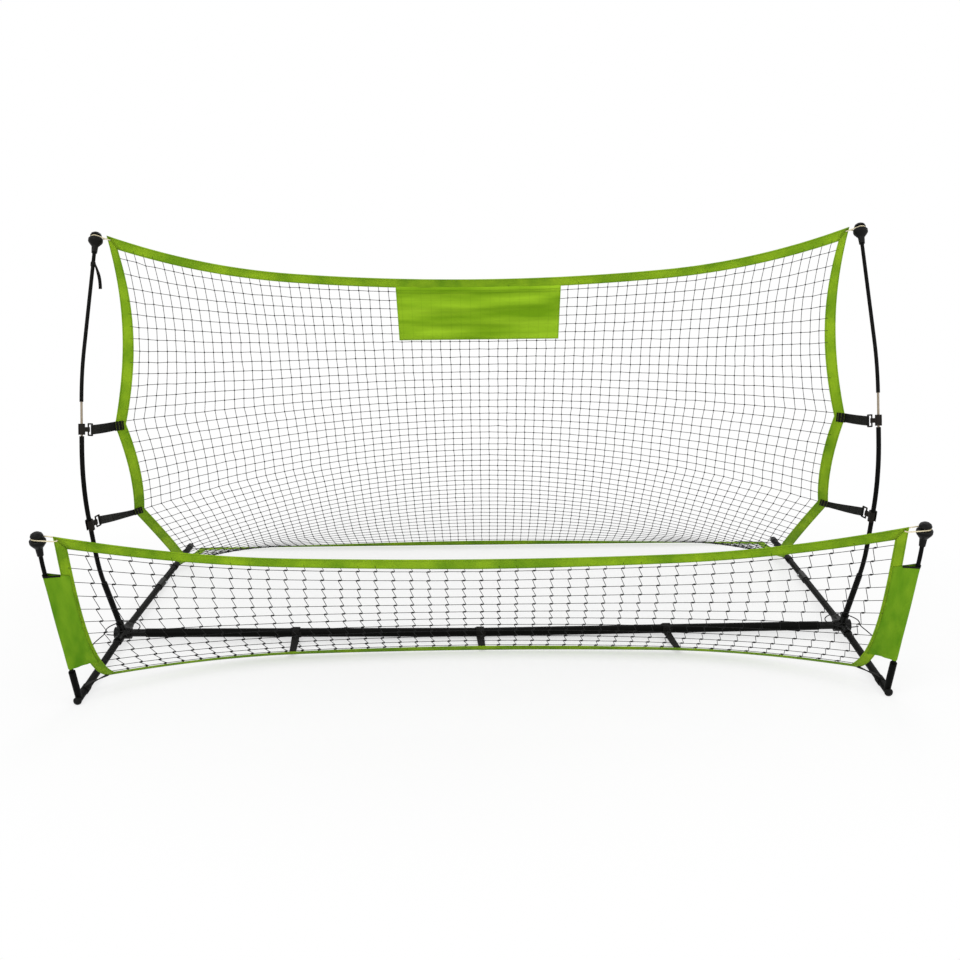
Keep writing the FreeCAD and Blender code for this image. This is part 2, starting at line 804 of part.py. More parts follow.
def make_pole_sleeve(name, side, plan):
    """Fabric round the front pole, drawn to the net's side edge."""
    path = front_path(side)
    cloth = plan.cloth
    up = lean_direction(front_lean)
    inner = front_pole_radius + fit_clearance
    outer = inner + web_thickness
    start = path.at(0).z
    low_distance = (sleeve_bottom - start) / up.z
    high_distance = (sleeve_top - start) / up.z
    ring = rod(path.at(low_distance), path.at(high_distance), outer)
    sections = []
    for share in (0.0, 0.5, 1.0):
        height = sleeve_bottom + (sleeve_top - sleeve_bottom) * share
        on_pole = path.at((height - start) / up.z)
        v = cloth.height_share(height)
        edge = cloth.at(1.0 if side > 0 else 0.0, v)
        across = edge - on_pole
        thick = up.cross(across).normalize() * (web_thickness / 2)
        end = edge - (edge - on_pole).normalize() * 1.0
        sections.append([on_pole - thick, end - thick, end + thick, on_pole + thick])
    sleeve = ring.fuse(loft(sections))
    hole = rod(path.at(low_distance - 10), path.at(high_distance + 4), inner)
    sleeve = sleeve.cut(hole)
    solids["pole_sleeve_" + name] = max(sleeve.Solids, key=lambda solid: solid.Volume)


def wrap(centre, axis, bore, thickness, width):
    half = axis * (width / 2)
    return tube(centre - half, centre + half, bore + thickness, bore)


def make_bar_straps(plan):
    """Three straps from the crossbar to the foot of the front net."""
    cloth = plan.cloth
    straps = []
    for step in (-1, 0, 1):
        x = step * bar_strap_spacing
        end = hub_point(1.0 if step >= 0 else -1.0)
        axis = (end - bar_middle()).normalize()
        centre = bar_middle() + axis * (abs(x) / abs(axis.x))
        if step == 0:
            axis = Vector(1, 0, 0)
        ring = wrap(centre, axis, bar_radius + fit_clearance, web_thickness, web_width)
        u = 0.5 + x / (2 * cloth.at(1.0, 0.0).x)
        edge = cloth.at(u, 0.0)
        half = Vector(web_width / 2, 0, 0)
        down = Vector(0, 0, -web_thickness)
        bar_front = centre + Vector(0, -bar_radius - fit_clearance - web_thickness * 0.6, 0)
        start = [bar_front - half, bar_front + half, bar_front + half + down, bar_front - half + down]
        net = edge + Vector(0, bar_strap_to_net + web_thickness, 0)
        finish = [net - half, net + half, net + half + down * 0.9, net - half + down * 0.9]
        straps.append(ring.fuse(loft([start, finish])))
    solids["crossbar_straps"] = Part.makeCompound(straps)


def rail_strap(place, axis, side, angle, cloth, u, v):
    """A loop round a rail, its tab leaving at an angle above level and ending under the net's border."""
    turn = math.radians(angle)
    outward = Vector(-side * math.cos(turn), 0, math.sin(turn))
    thick = Vector(side * math.sin(turn), 0, math.cos(turn)) * (web_thickness / 2)
    bore = rail_radius + fit_clearance
    root = place + outward * (bore + web_thickness / 2)
    half = axis * (corner_strap_width / 2)
    half_share = cloth.tall(corner_strap_width / 2, u, v)
    behind = -cloth.normal * (border_behind + fit_clearance)
    depth = -cloth.normal * web_thickness
    low = cloth.at(u, v - half_share) + behind
    high = cloth.at(u, v + half_share) + behind
    tab = loft([[root - half + thick, root + half + thick, root + half - thick, root - half - thick],
                [low, high, high + depth, low + depth]])
    return wrap(place, axis, bore, web_thickness, web_width).fuse(tab)


def make_corner_straps(front_plan, tall_plan, loop_share):
    """Straps from the lower corners of the nets round the rails."""
    straps = []
    for side in SIDES.values():
        mirror = side > 0
        centre = hub_point(side)
        foot = foot_point(side)
        tip = tip_point(side)
        u = front_plan.share(corner_strap_inset, 0.0, mirror)
        v = front_plan.cloth.tall(corner_strap_inset + corner_strap_width / 2, 0.0, 0.0)
        place = along(centre, foot, front_strap_distance)
        axis = (foot - centre).normalize()
        straps.append(rail_strap(place, axis, side, front_strap_angle, front_plan.cloth, u, v))
        u = tall_plan.share(corner_strap_inset, loop_share, mirror)
        place = along(centre, tip, rear_loop_distance)
        axis = (centre - tip).normalize()
        straps.append(rail_strap(place, axis, side, rear_strap_angle, tall_plan.cloth, u, loop_share))
    solids["corner_straps"] = Part.makeCompound(straps)


def elastic_loop(path, plan, mirror, bow_radius):
    """A closed elastic: round the cap's groove, over and under the net's corner and through its eye."""
    up = lean_direction(path.lean)
    centre = groove_centre(path)
    normal = plan.cloth.normal
    u = plan.share(corner_eye_inset, 1.0, mirror)
    v = 1.0 - plan.cloth.tall(corner_eye_inset, 0.0, 1.0)
    eye = plan.cloth.at(u, v) + normal * (border_thickness / 2 - border_behind)
    reach = eye - centre
    inward = (reach - normal * reach.dot(normal)).normalize()
    bow = eye - inward * (bow_radius - elastic_eye_place)
    ends = [bow + normal * bow_radius, bow - normal * bow_radius]

    big = cap_groove_radius + elastic_radius + fit_clearance
    ahead = (reach - up * reach.dot(up)).normalize()
    sideways = ahead.cross(up)
    if sideways.dot(normal) < 0:
        sideways = -sideways
    touches = []
    for end, sign in zip(ends, (1, -1)):
        level = (end - centre) - up * (end - centre).dot(up)
        turn = math.acos(big / level.Length) + sign * math.asin(level.dot(sideways) / level.Length)
        touches.append(centre + (ahead * math.cos(turn) + sideways * (sign * math.sin(turn))) * big)
    groove = Part.Arc(touches[0], centre - ahead * big, touches[1]).toShape()
    bend = Part.Arc(ends[0], bow + inward * bow_radius, ends[1]).toShape()
    loop = swept(Part.Wire([groove]), elastic_radius, touches[0], up.cross(touches[0] - centre))
    loop = loop.fuse(swept(Part.Wire([bend]), elastic_radius, ends[0], inward))
    for touch, end in zip(touches, ends):
        loop = loop.fuse(rod(touch, end, elastic_radius))
        loop = loop.fuse(Part.makeSphere(elastic_radius, touch)).fuse(Part.makeSphere(elastic_radius, end))
    return loop.removeSplitter()


def make_hub_cords():
    """An elastic cord that lies round each hub on its arms, with a knotted tail."""
    cords = []
    for side in SIDES.values():
        centre = hub_point(side)
        arm_drop = hub_cord_ring * (hub_height - rail_end_height) / rear_reach
        lift = rail_radius + hub_socket_wall + hub_cord_radius + fit_clearance - arm_drop
        ring = Part.makeTorus(hub_cord_ring, hub_cord_radius, centre + Vector(0, 0, lift), Vector(0, 0, 1))
        turn = math.radians(hub_cord_tail_angle)
        start = centre + Vector(side * math.cos(turn) * hub_cord_ring, math.sin(turn) * hub_cord_ring, lift)
        end = start + Vector(side * hub_cord_tail[0], hub_cord_tail[1], hub_cord_tail[2])
        tail = rod(start, end, hub_cord_radius)
        knot = Part.makeSphere(hub_cord_knot_radius, end)
        cords.append(ring.fuse(tail).fuse(knot).removeSplitter())
    solids["hub_cords"] = Part.makeCompound(cords)


def make_rear_tie_cords(plan):
    """A thin cord from each rear rail to the foot of the tall net."""
    cords = []
    for side in SIDES.values():
        place = along(hub_point(side), tip_point(side), rear_tie_distance)
        axis = (tip_point(side) - place).normalize()
        ring = wrap(place, axis, rail_radius + fit_clearance, web_thickness, 3 * tie_cord_radius)
        over = Vector(0, -2 * border_thickness, border_thickness + 2 * tie_cord_radius)
        foot = plan.cloth.at(0.5 + side * tie_cord_place, 0.0) + over
        start = place + Vector(-side * (rail_radius + tie_cord_radius), 0, 0)
        cords.append(ring.fuse(rod(start, foot, tie_cord_radius)))
    solids["rear_tie_cords"] = Part.makeCompound(cords)


def make_tie_strap():
    """A narrow strap round the left tall pole with its tail hanging free."""
    path = tall_path(-1)
    centre = path.at(cap_foot_distance(path) - tie_strap_distance)
    up = lean_direction(path.lean)
    ring = wrap(centre, up, tall_upper_radius + fit_clearance, web_thickness, tie_strap_ring_width)
    inward = Vector(1, 0, 0)
    start = centre + inward * (tall_upper_radius + fit_clearance + web_thickness * 0.3)
    end = start + Vector(*tie_strap_tail)
    thick = Vector(0, web_thickness, 0)
    wide = Vector(tie_strap_width, 0, 0)
    first = [start, start + wide, start + wide + thick, start + thick]
    last = [end, end + wide, end + wide + thick, end + thick]
    solids["pole_tie_strap"] = ring.fuse(loft([first, last]))


def build():
    make_crossbar()
    make_end_caps()
    make_hub_cords()
    make_tie_strap()

    tall = tall_cloth()
    lower_height = tall_path(1).at(lower_clip_distance).z - lower_strap_drop
    upper_height = tall_path(1).at(upper_clip_distance).z - upper_strap_drop
    lower_station = tall.height_share(lower_height)
    upper_station = tall.height_share(upper_height)
    rear_loop = tall.height_share(rear_loop_height)
    stations = [0.0, rear_loop, lower_station, upper_station, 1.0]
    tall_plan = NetPlan(tall, stations, [0.0, low_scallop, middle_scallop, side_scallop])
    front_plan = NetPlan(front_cloth(), [0.0, 1.0], [front_scallop])
    make_net("tall", tall_plan, tall_net_gaps, 0.0)
    make_net("front", front_plan, front_net_gaps, 0.5)
    make_target_panel(tall_plan)

    loops = []
    for name, side in SIDES.items():
        mirror = side > 0
        make_hub(name, side)
        make_rails(name, side)
        make_tall_pole(name, side)
        make_front_pole(name, side)
        make_pole_sleeve(name, side, front_plan)
        path = tall_path(side)
        ring = make_clip("lower_" + name, path, side, lower_clip_distance, clip_radius,
                         tall_pole_radius + slide_clearance, clip_mouth)
        make_side_strap("lower_" + name, tall_plan, mirror, ring, lower_station)
        ring = make_clip("upper_" + name, path, side, upper_clip_distance, clip_radius_on_rod,
                         tall_rod_radius + slide_clearance, clip_mouth_on_rod)
        make_side_strap("upper_" + name, tall_plan, mirror, ring, upper_station)
        loops.append(elastic_loop(path, tall_plan, mirror, tall_elastic_bow))
        loops.append(elastic_loop(front_path(side), front_plan, mirror, front_elastic_bow))
    solids["elastic_loops"] = Part.makeCompound(loops)
    make_bar_straps(front_plan)
    make_corner_straps(front_plan, tall_plan, rear_loop)
    make_rear_tie_cords(tall_plan)


def centre_and_export():
    """Puts the origin at the middle of the footprint, on the ground, and writes one file for each piece."""
    box = FreeCAD.BoundBox()
    for shape in solids.values():
        box.add(shape.BoundBox)
    move = Vector(-(box.XMin + box.XMax) / 2, -(box.YMin + box.YMax) / 2, 0)
    os.makedirs("parts", exist_ok=True)
    for name, shape in solids.items():
        moved = shape.copy()
        moved.translate(move)
        moved.exportStep("parts/" + name + ".step")
    return move


build()
offset = centre_and_export()
print("pieces", len(solids), "moved by", [round(value, 3) for value in offset])
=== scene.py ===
import bpy
import math
import numpy as np
from mathutils import Matrix, Vector


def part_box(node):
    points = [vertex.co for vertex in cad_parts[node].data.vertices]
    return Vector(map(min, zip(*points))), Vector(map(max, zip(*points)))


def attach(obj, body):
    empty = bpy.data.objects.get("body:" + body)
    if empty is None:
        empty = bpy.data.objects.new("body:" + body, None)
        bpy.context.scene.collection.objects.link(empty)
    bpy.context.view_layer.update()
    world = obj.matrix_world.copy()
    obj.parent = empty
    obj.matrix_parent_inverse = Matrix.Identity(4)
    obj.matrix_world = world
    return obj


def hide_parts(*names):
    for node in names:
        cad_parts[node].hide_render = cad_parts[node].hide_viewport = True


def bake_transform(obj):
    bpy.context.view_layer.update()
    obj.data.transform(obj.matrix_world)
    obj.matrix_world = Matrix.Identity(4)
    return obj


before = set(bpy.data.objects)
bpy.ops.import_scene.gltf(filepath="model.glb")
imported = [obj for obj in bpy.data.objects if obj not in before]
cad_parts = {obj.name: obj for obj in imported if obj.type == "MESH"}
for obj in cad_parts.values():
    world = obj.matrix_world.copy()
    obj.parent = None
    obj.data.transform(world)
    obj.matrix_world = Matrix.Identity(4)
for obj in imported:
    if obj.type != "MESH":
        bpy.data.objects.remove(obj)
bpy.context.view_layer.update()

# The looks of the two-sided ball rebounder. Metres, in the part's own frame.
# The cloth surfaces below are the ones that part.py cuts its nets from. Only the side
# borders curve in more between their straps, as they do in the photo.

# From the source's frame to the part's own, along y
SHIFT = -0.128687
SIDES = {"left": -1.0, "right": 1.0}
# Black webbing, and the room between it and a tube
WEB = 0.025
WEB_THICKNESS = 0.0016
FIT = 0.00015
# The green border: its width, half its thickness and the height of its fold's soft ridge
BORDER_WIDTH = 0.0295
BORDER_HALF = 0.0013
BORDER_RIDGE = 0.0008
# Strands and borders lie this far off the cloth surface, along its normal
LIFT = 0.001
# The strands end under the border, this far from its outer edge
STRAND_INSET = WEB - 0.004
# How far the side straps' sewn ends lie in front of the cloth surface
STRAP_LIFT = 0.0014
POLE_X = 1.025
FRONT_LEAN = math.radians(15.5)
FRONT_UP = np.array([0.0, -math.sin(FRONT_LEAN), math.cos(FRONT_LEAN)])
RAIL_RADIUS = 0.0095
BAR_RADIUS = 0.0125
RING_BAR_RADIUS = 0.002
TWINE_RADIUS = 0.0008


# Small helpers

def unit(vectors):
    """The vectors at length 1."""
    vectors = np.asarray(vectors, float)
    return vectors / np.linalg.norm(vectors, axis=-1, keepdims=True)


def smooth(t):
    """0 below 0, 1 above 1 and an S-shaped rise between."""
    t = np.clip(t, 0.0, 1.0)
    return t * t * (3 - 2 * t)


def from_side(side, u):
    """A share across, counted from the left edge or, on the right side, from the right edge."""
    return 1 - u if side > 0 else u


def lengths(points):
    """How far each point lies along a line of points."""
    steps = np.linalg.norm(np.diff(points, axis=0), axis=1)
    return np.concatenate([[0.0], np.cumsum(steps)])


def linked(name, data):
    """A new object in the scene."""
    made = bpy.data.objects.new(name, data)
    bpy.context.scene.collection.objects.link(made)
    return made


def new_object(name, vertices, faces, uvs=None, material=None):
    """A mesh object from arrays; uvs holds one (u, v) pair in metres for each face corner."""
    mesh = bpy.data.meshes.new(name)
    mesh.from_pydata([tuple(v) for v in vertices], [], [list(f) for f in faces])
    if uvs is not None:
        layer = mesh.uv_layers.new(name="UVMap")
        layer.data.foreach_set("uv", np.asarray(uvs, np.float32).ravel())
    mesh.polygons.foreach_set("use_smooth", [True] * len(mesh.polygons))
    mesh.materials.append(material)
    mesh.update()
    return linked(name, mesh)


def swept_section(rings, ends=True, along=None, around=None):
    """Vertices, faces and UVs of a shape whose closed cross-sections are rings[i][j]."""
    count, size = rings.shape[:2]
    if along is None:
        along = lengths(rings.mean(axis=1))
    if around is None:
        middle = rings[count // 2]
        around = lengths(np.vstack([middle, middle[:1]]))
    faces, uvs = [], []
    for i in range(count - 1):
        for j in range(size):
            k = (j + 1) % size
            faces.append((i * size + j, i * size + k, (i + 1) * size + k, (i + 1) * size + j))
            uvs += [(along[i], around[j]), (along[i], around[j + 1]), (along[i + 1], around[j + 1]),
                    (along[i + 1], around[j])]
    if ends:
        for i, order in ((0, range(size - 1, -1, -1)), (count - 1, range(size))):
            faces.append(tuple(i * size + j for j in order))
            uvs += [(along[i], around[j]) for j in order]
    return rings.reshape(-1, 3), faces, uvs


# The nets' surfaces

class Cloth:
    """The stretched surface over a net: a quadratic spline across, a Bezier curve up."""

    ACROSS = (-1.0, -0.75, 0.0, 0.75, 1.0)
    KNOTS = (0.0, 0.0, 0.0, 0.25, 0.75, 1.0, 1.0, 1.0)

    def __init__(self, rows, normal_angle):
        """Each row gives a side point, the middle's (y, z) and how full the row is between them."""
        self.normal = np.array([0.0, math.sin(normal_angle), math.cos(normal_angle)])
        grid = []
        for column, share in enumerate(self.ACROSS):
            line = []
            for (edge_x, edge_y, edge_z), (mid_y, mid_z), fullness in rows:
                weight = (1.0, fullness, -fullness / 2, fullness, 1.0)[column]
                line.append((edge_x * share, mid_y + (edge_y - mid_y) * weight,
                             mid_z + (edge_z - mid_z) * weight))
            grid.append(line)
        # The rows are in the source's millimetres
        self.grid = np.array(grid) / 1000 + (0.0, SHIFT, 0.0)

    def spline_weights(self, u):
        """How much each column of the grid counts at a share across."""
        knots = self.KNOTS
        u = np.clip(u, 0.0, 1.0 - 1e-9)
        spans = len(knots) - 1
        level = [((u >= knots[i]) & (u < knots[i + 1])).astype(float) for i in range(spans)]
        for degree in (1, 2):
            following = []
            for i in range(spans - degree):
                total = np.zeros_like(u)
                if knots[i + degree] > knots[i]:
                    total += (u - knots[i]) / (knots[i + degree] - knots[i]) * level[i]
                if knots[i + degree + 1] > knots[i + 1]:
                    share = (knots[i + degree + 1] - u) / (knots[i + degree + 1] - knots[i + 1])
                    total += share * level[i + 1]
                following.append(total)
            level = following
        return np.stack(level, axis=-1)

    def at(self, u, v):
        """Points of the surface at shares across and up."""
        u, v = np.broadcast_arrays(np.asarray(u, float), np.asarray(v, float))
        n = self.grid.shape[1] - 1
        across = self.spline_weights(u)
        up = np.stack([math.comb(n, i) * v ** i * (1 - v) ** (n - i) for i in range(n + 1)], -1)
        return np.einsum("...i,...j,ijk->...k", across, up, self.grid)

    def normals(self, u, v):
        """The surface's own normals."""
        step = 1e-3
        u = np.clip(u, step, 1 - step)
        v = np.clip(v, step, 1 - step)
        across = self.at(u + step, v) - self.at(u - step, v)
        up = self.at(u, v + step) - self.at(u, v - step)
        return unit(np.cross(across, up))

    def wide(self, width, v):
        """A width across the cloth at the side, as a share of the row at v."""
        step = 0.02
        return width * step / np.linalg.norm(self.at(step, v) - self.at(0.0, v), axis=-1)

    def tall(self, height, u, v):
        """A height up the cloth at (u, v), as a share of the column."""
        step = 0.01
        low = np.clip(v - step / 2, 0.0, 1.0 - step)
        return height * step / np.linalg.norm(self.at(u, low + step) - self.at(u, low), axis=-1)

    def height_share(self, height):
        """The share up at which the cloth's side is at a height over the ground."""
        shares = np.linspace(0, 1, 801)
        return float(np.interp(height, self.at(0.0, shares)[:, 2], shares))


class NetPlan:
    """The outline of one net in shares across (u) and up (v)."""

    STEPS_UP, STEPS_ACROSS = 60, 90

    def __init__(self, cloth, stations, scallops):
        """The side curves in by a scallop between each two stations."""
        self.cloth = cloth
        self.stations = stations
        self.scallops = scallops

    def inward(self, inset, u, v):
        """The foot's or head's v, moved in by an inset; any other v stays."""
        if 0.0 < v < 1.0:
            return v
        share = self.cloth.tall(inset, u, v)
        return share if v == 0.0 else 1.0 - share

    def side(self, inset):
        """Points (u, v) up the left side at an inset; the right side is its mirror image."""
        found = []
        pairs = list(zip(self.stations, self.stations[1:]))
        for index, ((low, high), scallop) in enumerate(zip(pairs, self.scallops)):
            middle = (low + high) / 2
            first, last = (np.array([self.cloth.wide(inset, v), self.inward(inset, 0.0, v)])
                           for v in (low, high))
            pull = np.array([self.cloth.wide(inset + 2 * scallop, middle), middle])
            steps = max(4, int(round(self.STEPS_UP * (high - low))))
            t = np.linspace(0, 1, steps + 1)[:, None]
            if index:
                t = t[1:]
            found.append((1 - t) ** 2 * first + 2 * t * (1 - t) * pull + t ** 2 * last)
        return np.vstack(found)

    def level(self, inset, v):
        """Points (u, v) along the foot or the head edge from left to right."""
        ends = self.cloth.wide(inset, v)
        u = np.linspace(ends, 1 - ends, self.STEPS_ACROSS + 1)
        corner, middle = self.inward(inset, 0.0, v), self.inward(inset, 0.5, v)
        return np.stack([u, np.interp(u, [ends, 0.5, 1 - ends], [corner, middle, corner])], axis=1)


tall_cloth = Cloth([
    ((990, 757, 2), (760, 2), 0.5), ((1041, 432, 18), (594, 183), 0.5), ((978, 349.5, -9.5), (394, 332), 0.5),
    ((987, -365.5, 646.5), (275, 550), 0.5), ((986, 113.5, 718.5), (194, 774.5), 0.5),
    ((998, 135.16, 1124.33), (80, 1002.5), 0.32)], math.radians(56))
front_cloth = Cloth([
    ((979, -281, 31), (-94, 3), 0.2), ((1000, -423, 110), (-190, 95), 0.5),
    ((995, -453.5, 326), (-251, 215), 0.55), ((987, -493.94, 490.32), (-276, 340), 0.23)], math.radians(55))
LOOP_STATION = tall_cloth.height_share(0.022)
# The side straps meet the border at these heights, a little below their clips
STATIONS = {"lower": tall_cloth.height_share(0.35234), "upper": tall_cloth.height_share(0.62939)}
tall_plan = NetPlan(tall_cloth, [0.0, LOOP_STATION, *STATIONS.values(), 1.0], [0.0, 0.041, 0.0176, 0.0309])
front_plan = NetPlan(front_cloth, [0.0, 1.0], [0.002])


# Materials

def linear(hex_colour):
    """A linear colour from an sRGB hex string."""
    values = [int(hex_colour[i:i + 2], 16) / 255 for i in (1, 3, 5)]
    return tuple(c / 12.92 if c <= 0.04045 else ((c + 0.055) / 1.055) ** 2.4 for c in values) + (1.0,)


class Nodes:
    """An emptied node tree and a short way to add nodes to it."""

    def __init__(self, tree):
        """Takes the tree and empties it."""
        self.tree = tree
        tree.nodes.clear()

    def feed(self, socket, value):
        """Links an output to a socket, or sets the socket to a plain value."""
        if isinstance(value, bpy.types.NodeSocket):
            self.tree.links.new(value, socket)
        else:
            socket.default_value = value

    def add(self, kind, inputs=None, **settings):
        """A new node with its settings made and its inputs fed."""
        made = self.tree.nodes.new(kind)
        for key, value in settings.items():
            setattr(made, key, value)
        for key, value in (inputs or {}).items():
            self.feed(made.inputs[key], value)
        return made

    def math(self, operation, first, second=0.0):
        """The result of one sum or comparison."""
        return self.add("ShaderNodeMath", {0: first, 1: second}, operation=operation).outputs[0]

    def coordinates(self, kind="Object"):
        """Places on the object, or on its UV map."""
        return self.add("ShaderNodeTexCoord").outputs[kind]

    def noise(self, scale, detail=2.0, kind="Object", stretch=(1, 1, 1)):
        """Soft noise at a scale, in cycles per metre."""
        spot = self.add("ShaderNodeMapping", {"Vector": self.coordinates(kind), "Scale": stretch})
        return self.add("ShaderNodeTexNoise", {"Vector": spot.outputs[0], "Scale": scale,
                                               "Detail": detail}).outputs["Fac"]

    def mix(self, share, first, second):
        """A colour between two; the node's colours are its inputs 6 and 7 and its output 2."""
        return self.add("ShaderNodeMix", {0: share, 6: first, 7: second}, data_type="RGBA").outputs[2]

    def span(self, value, low, high):
        """0 below low, 1 above high, and a ramp between."""
        made = self.add("ShaderNodeMapRange", {"Value": value, "From Min": low, "From Max": high})
        return made.outputs[0]

    def dashes(self, along, across, place, half_width, pitch):
        """A dashed stitch line: 1 on a stitch, 0 elsewhere."""
        near = self.math("LESS_THAN", self.math("ABSOLUTE", self.math("SUBTRACT", across, place)), half_width)
        wave = self.math("FRACT", self.math("DIVIDE", along, pitch))
        return self.math("MULTIPLY", near, self.math("LESS_THAN", wave, 0.7))


class Finish(Nodes):
    """One procedural material with a surface shader."""

    def __init__(self, name, roughness, metallic=0.0, specular=0.5):
        self.material = bpy.data.materials.new(name)
        self.material.use_nodes = True
        super().__init__(self.material.node_tree)
        self.shader = self.add("ShaderNodeBsdfPrincipled", {
            "Roughness": roughness, "Metallic": metallic, "Specular IOR Level": specular})
        self.output = self.add("ShaderNodeOutputMaterial", {0: self.shader.outputs[0]})

    def colour(self, value):
        """Sets the surface's colour."""
        self.feed(self.shader.inputs["Base Color"], value)

    def bump(self, height, depth):
        """Raises the surface by a pattern, up to a depth in metres."""
        made = self.add("ShaderNodeBump", {"Height": height, "Distance": depth, "Strength": 1.0})
        self.feed(self.shader.inputs["Normal"], made.outputs[0])


def grained(name, light, dark, grain, depth, roughness, specular=0.5, metallic=0.0, tone=(35.0, 3.0)):
    """Two mottled colours and a fine grain; tone and grain are the settings of their noises."""
    finish = Finish(name, roughness, metallic, specular)
    finish.colour(finish.mix(finish.noise(*tone), linear(dark), linear(light)))
    finish.bump(finish.noise(*grain), depth)
    return finish.material


def twine(name, light, dark, pitch):
    """Twisted or braided cord, its strands running round it."""
    strands = (1.0 / pitch, 1.0)
    return grained(name, light, dark, strands, 0.0002, 0.8, 0.15, tone=strands)


def webbing(name, light, dark, thread, seams):
    """Woven webbing: fine ribs with painted shade in their low parts, a mottled colour and a stitched seam at
    each place across it.
    """
    rib = 0.0022
    finish = Finish(name, 0.75, specular=0.12)
    uv = finish.add("ShaderNodeSeparateXYZ", {0: finish.coordinates("UV")}).outputs
    weave_along = finish.math("SINE", finish.math("MULTIPLY", uv[0], 2 * math.pi / rib))
    weave_across = finish.math("SINE", finish.math("MULTIPLY", uv[1], 2 * math.pi / (rib * 0.8)))
    weave = finish.math("MULTIPLY", weave_along, weave_across)
    mottle = finish.noise(14.0, 4.0)
    base = finish.mix(finish.span(mottle, 0.35, 0.65), linear(dark), linear(light))
    # Painted shade: the weave's low parts are darkened towards the dark colour, following the ribs' bump
    shade = finish.span(weave, -1.6, 1.0)
    base = finish.mix(finish.math("MULTIPLY", finish.math("SUBTRACT", 1.0, shade), 0.35), base, linear(dark))
    height = weave
    for place in seams:
        seam = finish.dashes(uv[0], uv[1], place, 0.0006, 0.0045)
        base = finish.mix(finish.math("MULTIPLY", seam, 0.8), base, linear(thread))
        height = finish.math("ADD", height, finish.math("MULTIPLY", seam, 2.0))
    finish.colour(base)
    finish.bump(height, 0.00025)
    return finish.material


def panel_cloth():
    """Lime green woven cloth with soft horizontal shading, two rows of stitches and faint painted shadow of
    the net showing through.
    """
    finish = Finish("lime green panel cloth", 0.8, specular=0.1)
    uv = finish.add("ShaderNodeSeparateXYZ", {0: finish.coordinates("UV")}).outputs
    bands = finish.noise(9.0, 2.0, "UV", (0.35, 2.2, 1.0))
    base = finish.mix(finish.span(bands, 0.36, 0.62), linear("#6C970C"), linear("#97C124"))
    height = finish.noise(60.0, 3.0, "UV")
    # Faint darker lines at the net's 26.7 mm pitch: painted shadow of the net showing through the cloth
    for axis in (0, 1):
        cell = finish.math("FRACT", finish.math("DIVIDE", uv[axis], 0.0267))
        line = finish.math("LESS_THAN", finish.math("ABSOLUTE", finish.math("SUBTRACT", cell, 0.5)), 0.04)
        base = finish.mix(finish.math("MULTIPLY", line, 0.12), base, linear("#4A6B0A"))
    for place in (0.009, 0.017):
        seam = finish.dashes(uv[0], uv[1], place, 0.0008, 0.005)
        base = finish.mix(finish.math("MULTIPLY", seam, 0.6), base, linear("#55780A"))
        height = finish.math("ADD", height, seam)
    finish.colour(base)
    finish.bump(height, 0.0004)
    return finish.material


def sleeve_cloth():
    """Green woven cloth of the pole sleeves, with painted light and shade of soft lengthwise folds."""
    finish = Finish("green sleeve cloth", 0.8, specular=0.1)
    # Painted light and shade of lengthwise folds: long streaks of a lighter and a darker green
    painted_fold_shading = finish.noise(22.0, 2.0, "Object", (1.6, 1.6, 0.3))
    finish.colour(finish.mix(finish.span(painted_fold_shading, 0.3, 0.7), linear("#54860D"), linear("#729C1B")))
    finish.bump(finish.noise(300.0, 3.0), 0.0002)
    return finish.material


# Satin black powder coat on the steel tubes
powder_coat = grained("black powder coat", "#0C0C0B", "#060605", (900.0, 2.0), 0.00003, 0.5, 0.04)
# Moulded black plastic of hubs, couplings and caps
moulded_black = grained("moulded black plastic", "#0E0E0D", "#080807", (700.0, 2.0), 0.00005, 0.45, 0.12)
# Smooth black sleeve of the fibreglass poles
pole_black = grained("black pole sleeve", "#0C0C0B", "#060605", (500.0, 2.0), 0.00003, 0.45, 0.05)
# Soft black rubbery clip, slightly brown in the photo
clip_black = grained("black clip moulding", "#1C1610", "#0F0C09", (600.0, 2.0), 0.00005, 0.55, 0.15)
# Bare beige-grey fibreglass rod with fine lengthwise streaks
STREAKS = (260.0, 3.0, "Object", (1.0, 1.0, 0.04))
rod_bare = grained("bare fibreglass rod", "#A3957F", "#6E6252", STREAKS, 0.00005, 0.45, tone=STREAKS)
# Zinc-plated steel of the snap buttons and springs
steel_plated = grained("zinc-plated steel", "#C4C6C8", "#8D8F92", (800.0, 2.0), 0.00003, 0.34, metallic=1.0,
                       tone=(120.0, 3.0))
net_twine = twine("black net cord", "#1C1C1C", "#0C0C0C", 0.002)
cream_elastic = twine("cream elastic cord", "#F1E7C8", "#C9BB93", 0.0015)
black_cord = twine("black elastic cord", "#232323", "#0F0F0F", 0.002)
green_webbing = webbing("lime green webbing", "#93B81F", "#6B9613", "#4A7009", (0.0035, 0.026))
black_webbing = webbing("black webbing", "#1B1A17", "#0B0B0A", "#2B2A26", ())
patch_webbing = webbing("black webbing with green stitches", "#1B1A17", "#0B0B0A", "#6F8024",
                        (0.004, 0.012, 0.020))
panel_green = panel_cloth()
sleeve_green = sleeve_cloth()

NODE_FINISHES = (
    (("crossbar_left", "crossbar_right", "front_rail", "rear_rail", "front_pole_socket", "tall_pole_socket"),
     powder_coat),
    (("crossbar_joint", "snap_button"), steel_plated),
    (("tall_pole_joining",), rod_bare),
    (("pole_clip", "strap_ring"), clip_black),
    (("tall_pole_cap", "front_pole_cap", "hub_left", "hub_right", "rail_coupling", "front_foot", "rear_end"),
     moulded_black),
    (("tall_pole_lower", "tall_pole_upper", "front_pole_left", "front_pole_right"), pole_black),
)
for node_name, node_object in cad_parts.items():
    for starts, material in NODE_FINISHES:
        if node_name.startswith(starts):
            for material_slot in node_object.material_slots:
                material_slot.link = "OBJECT"
                material_slot.material = material


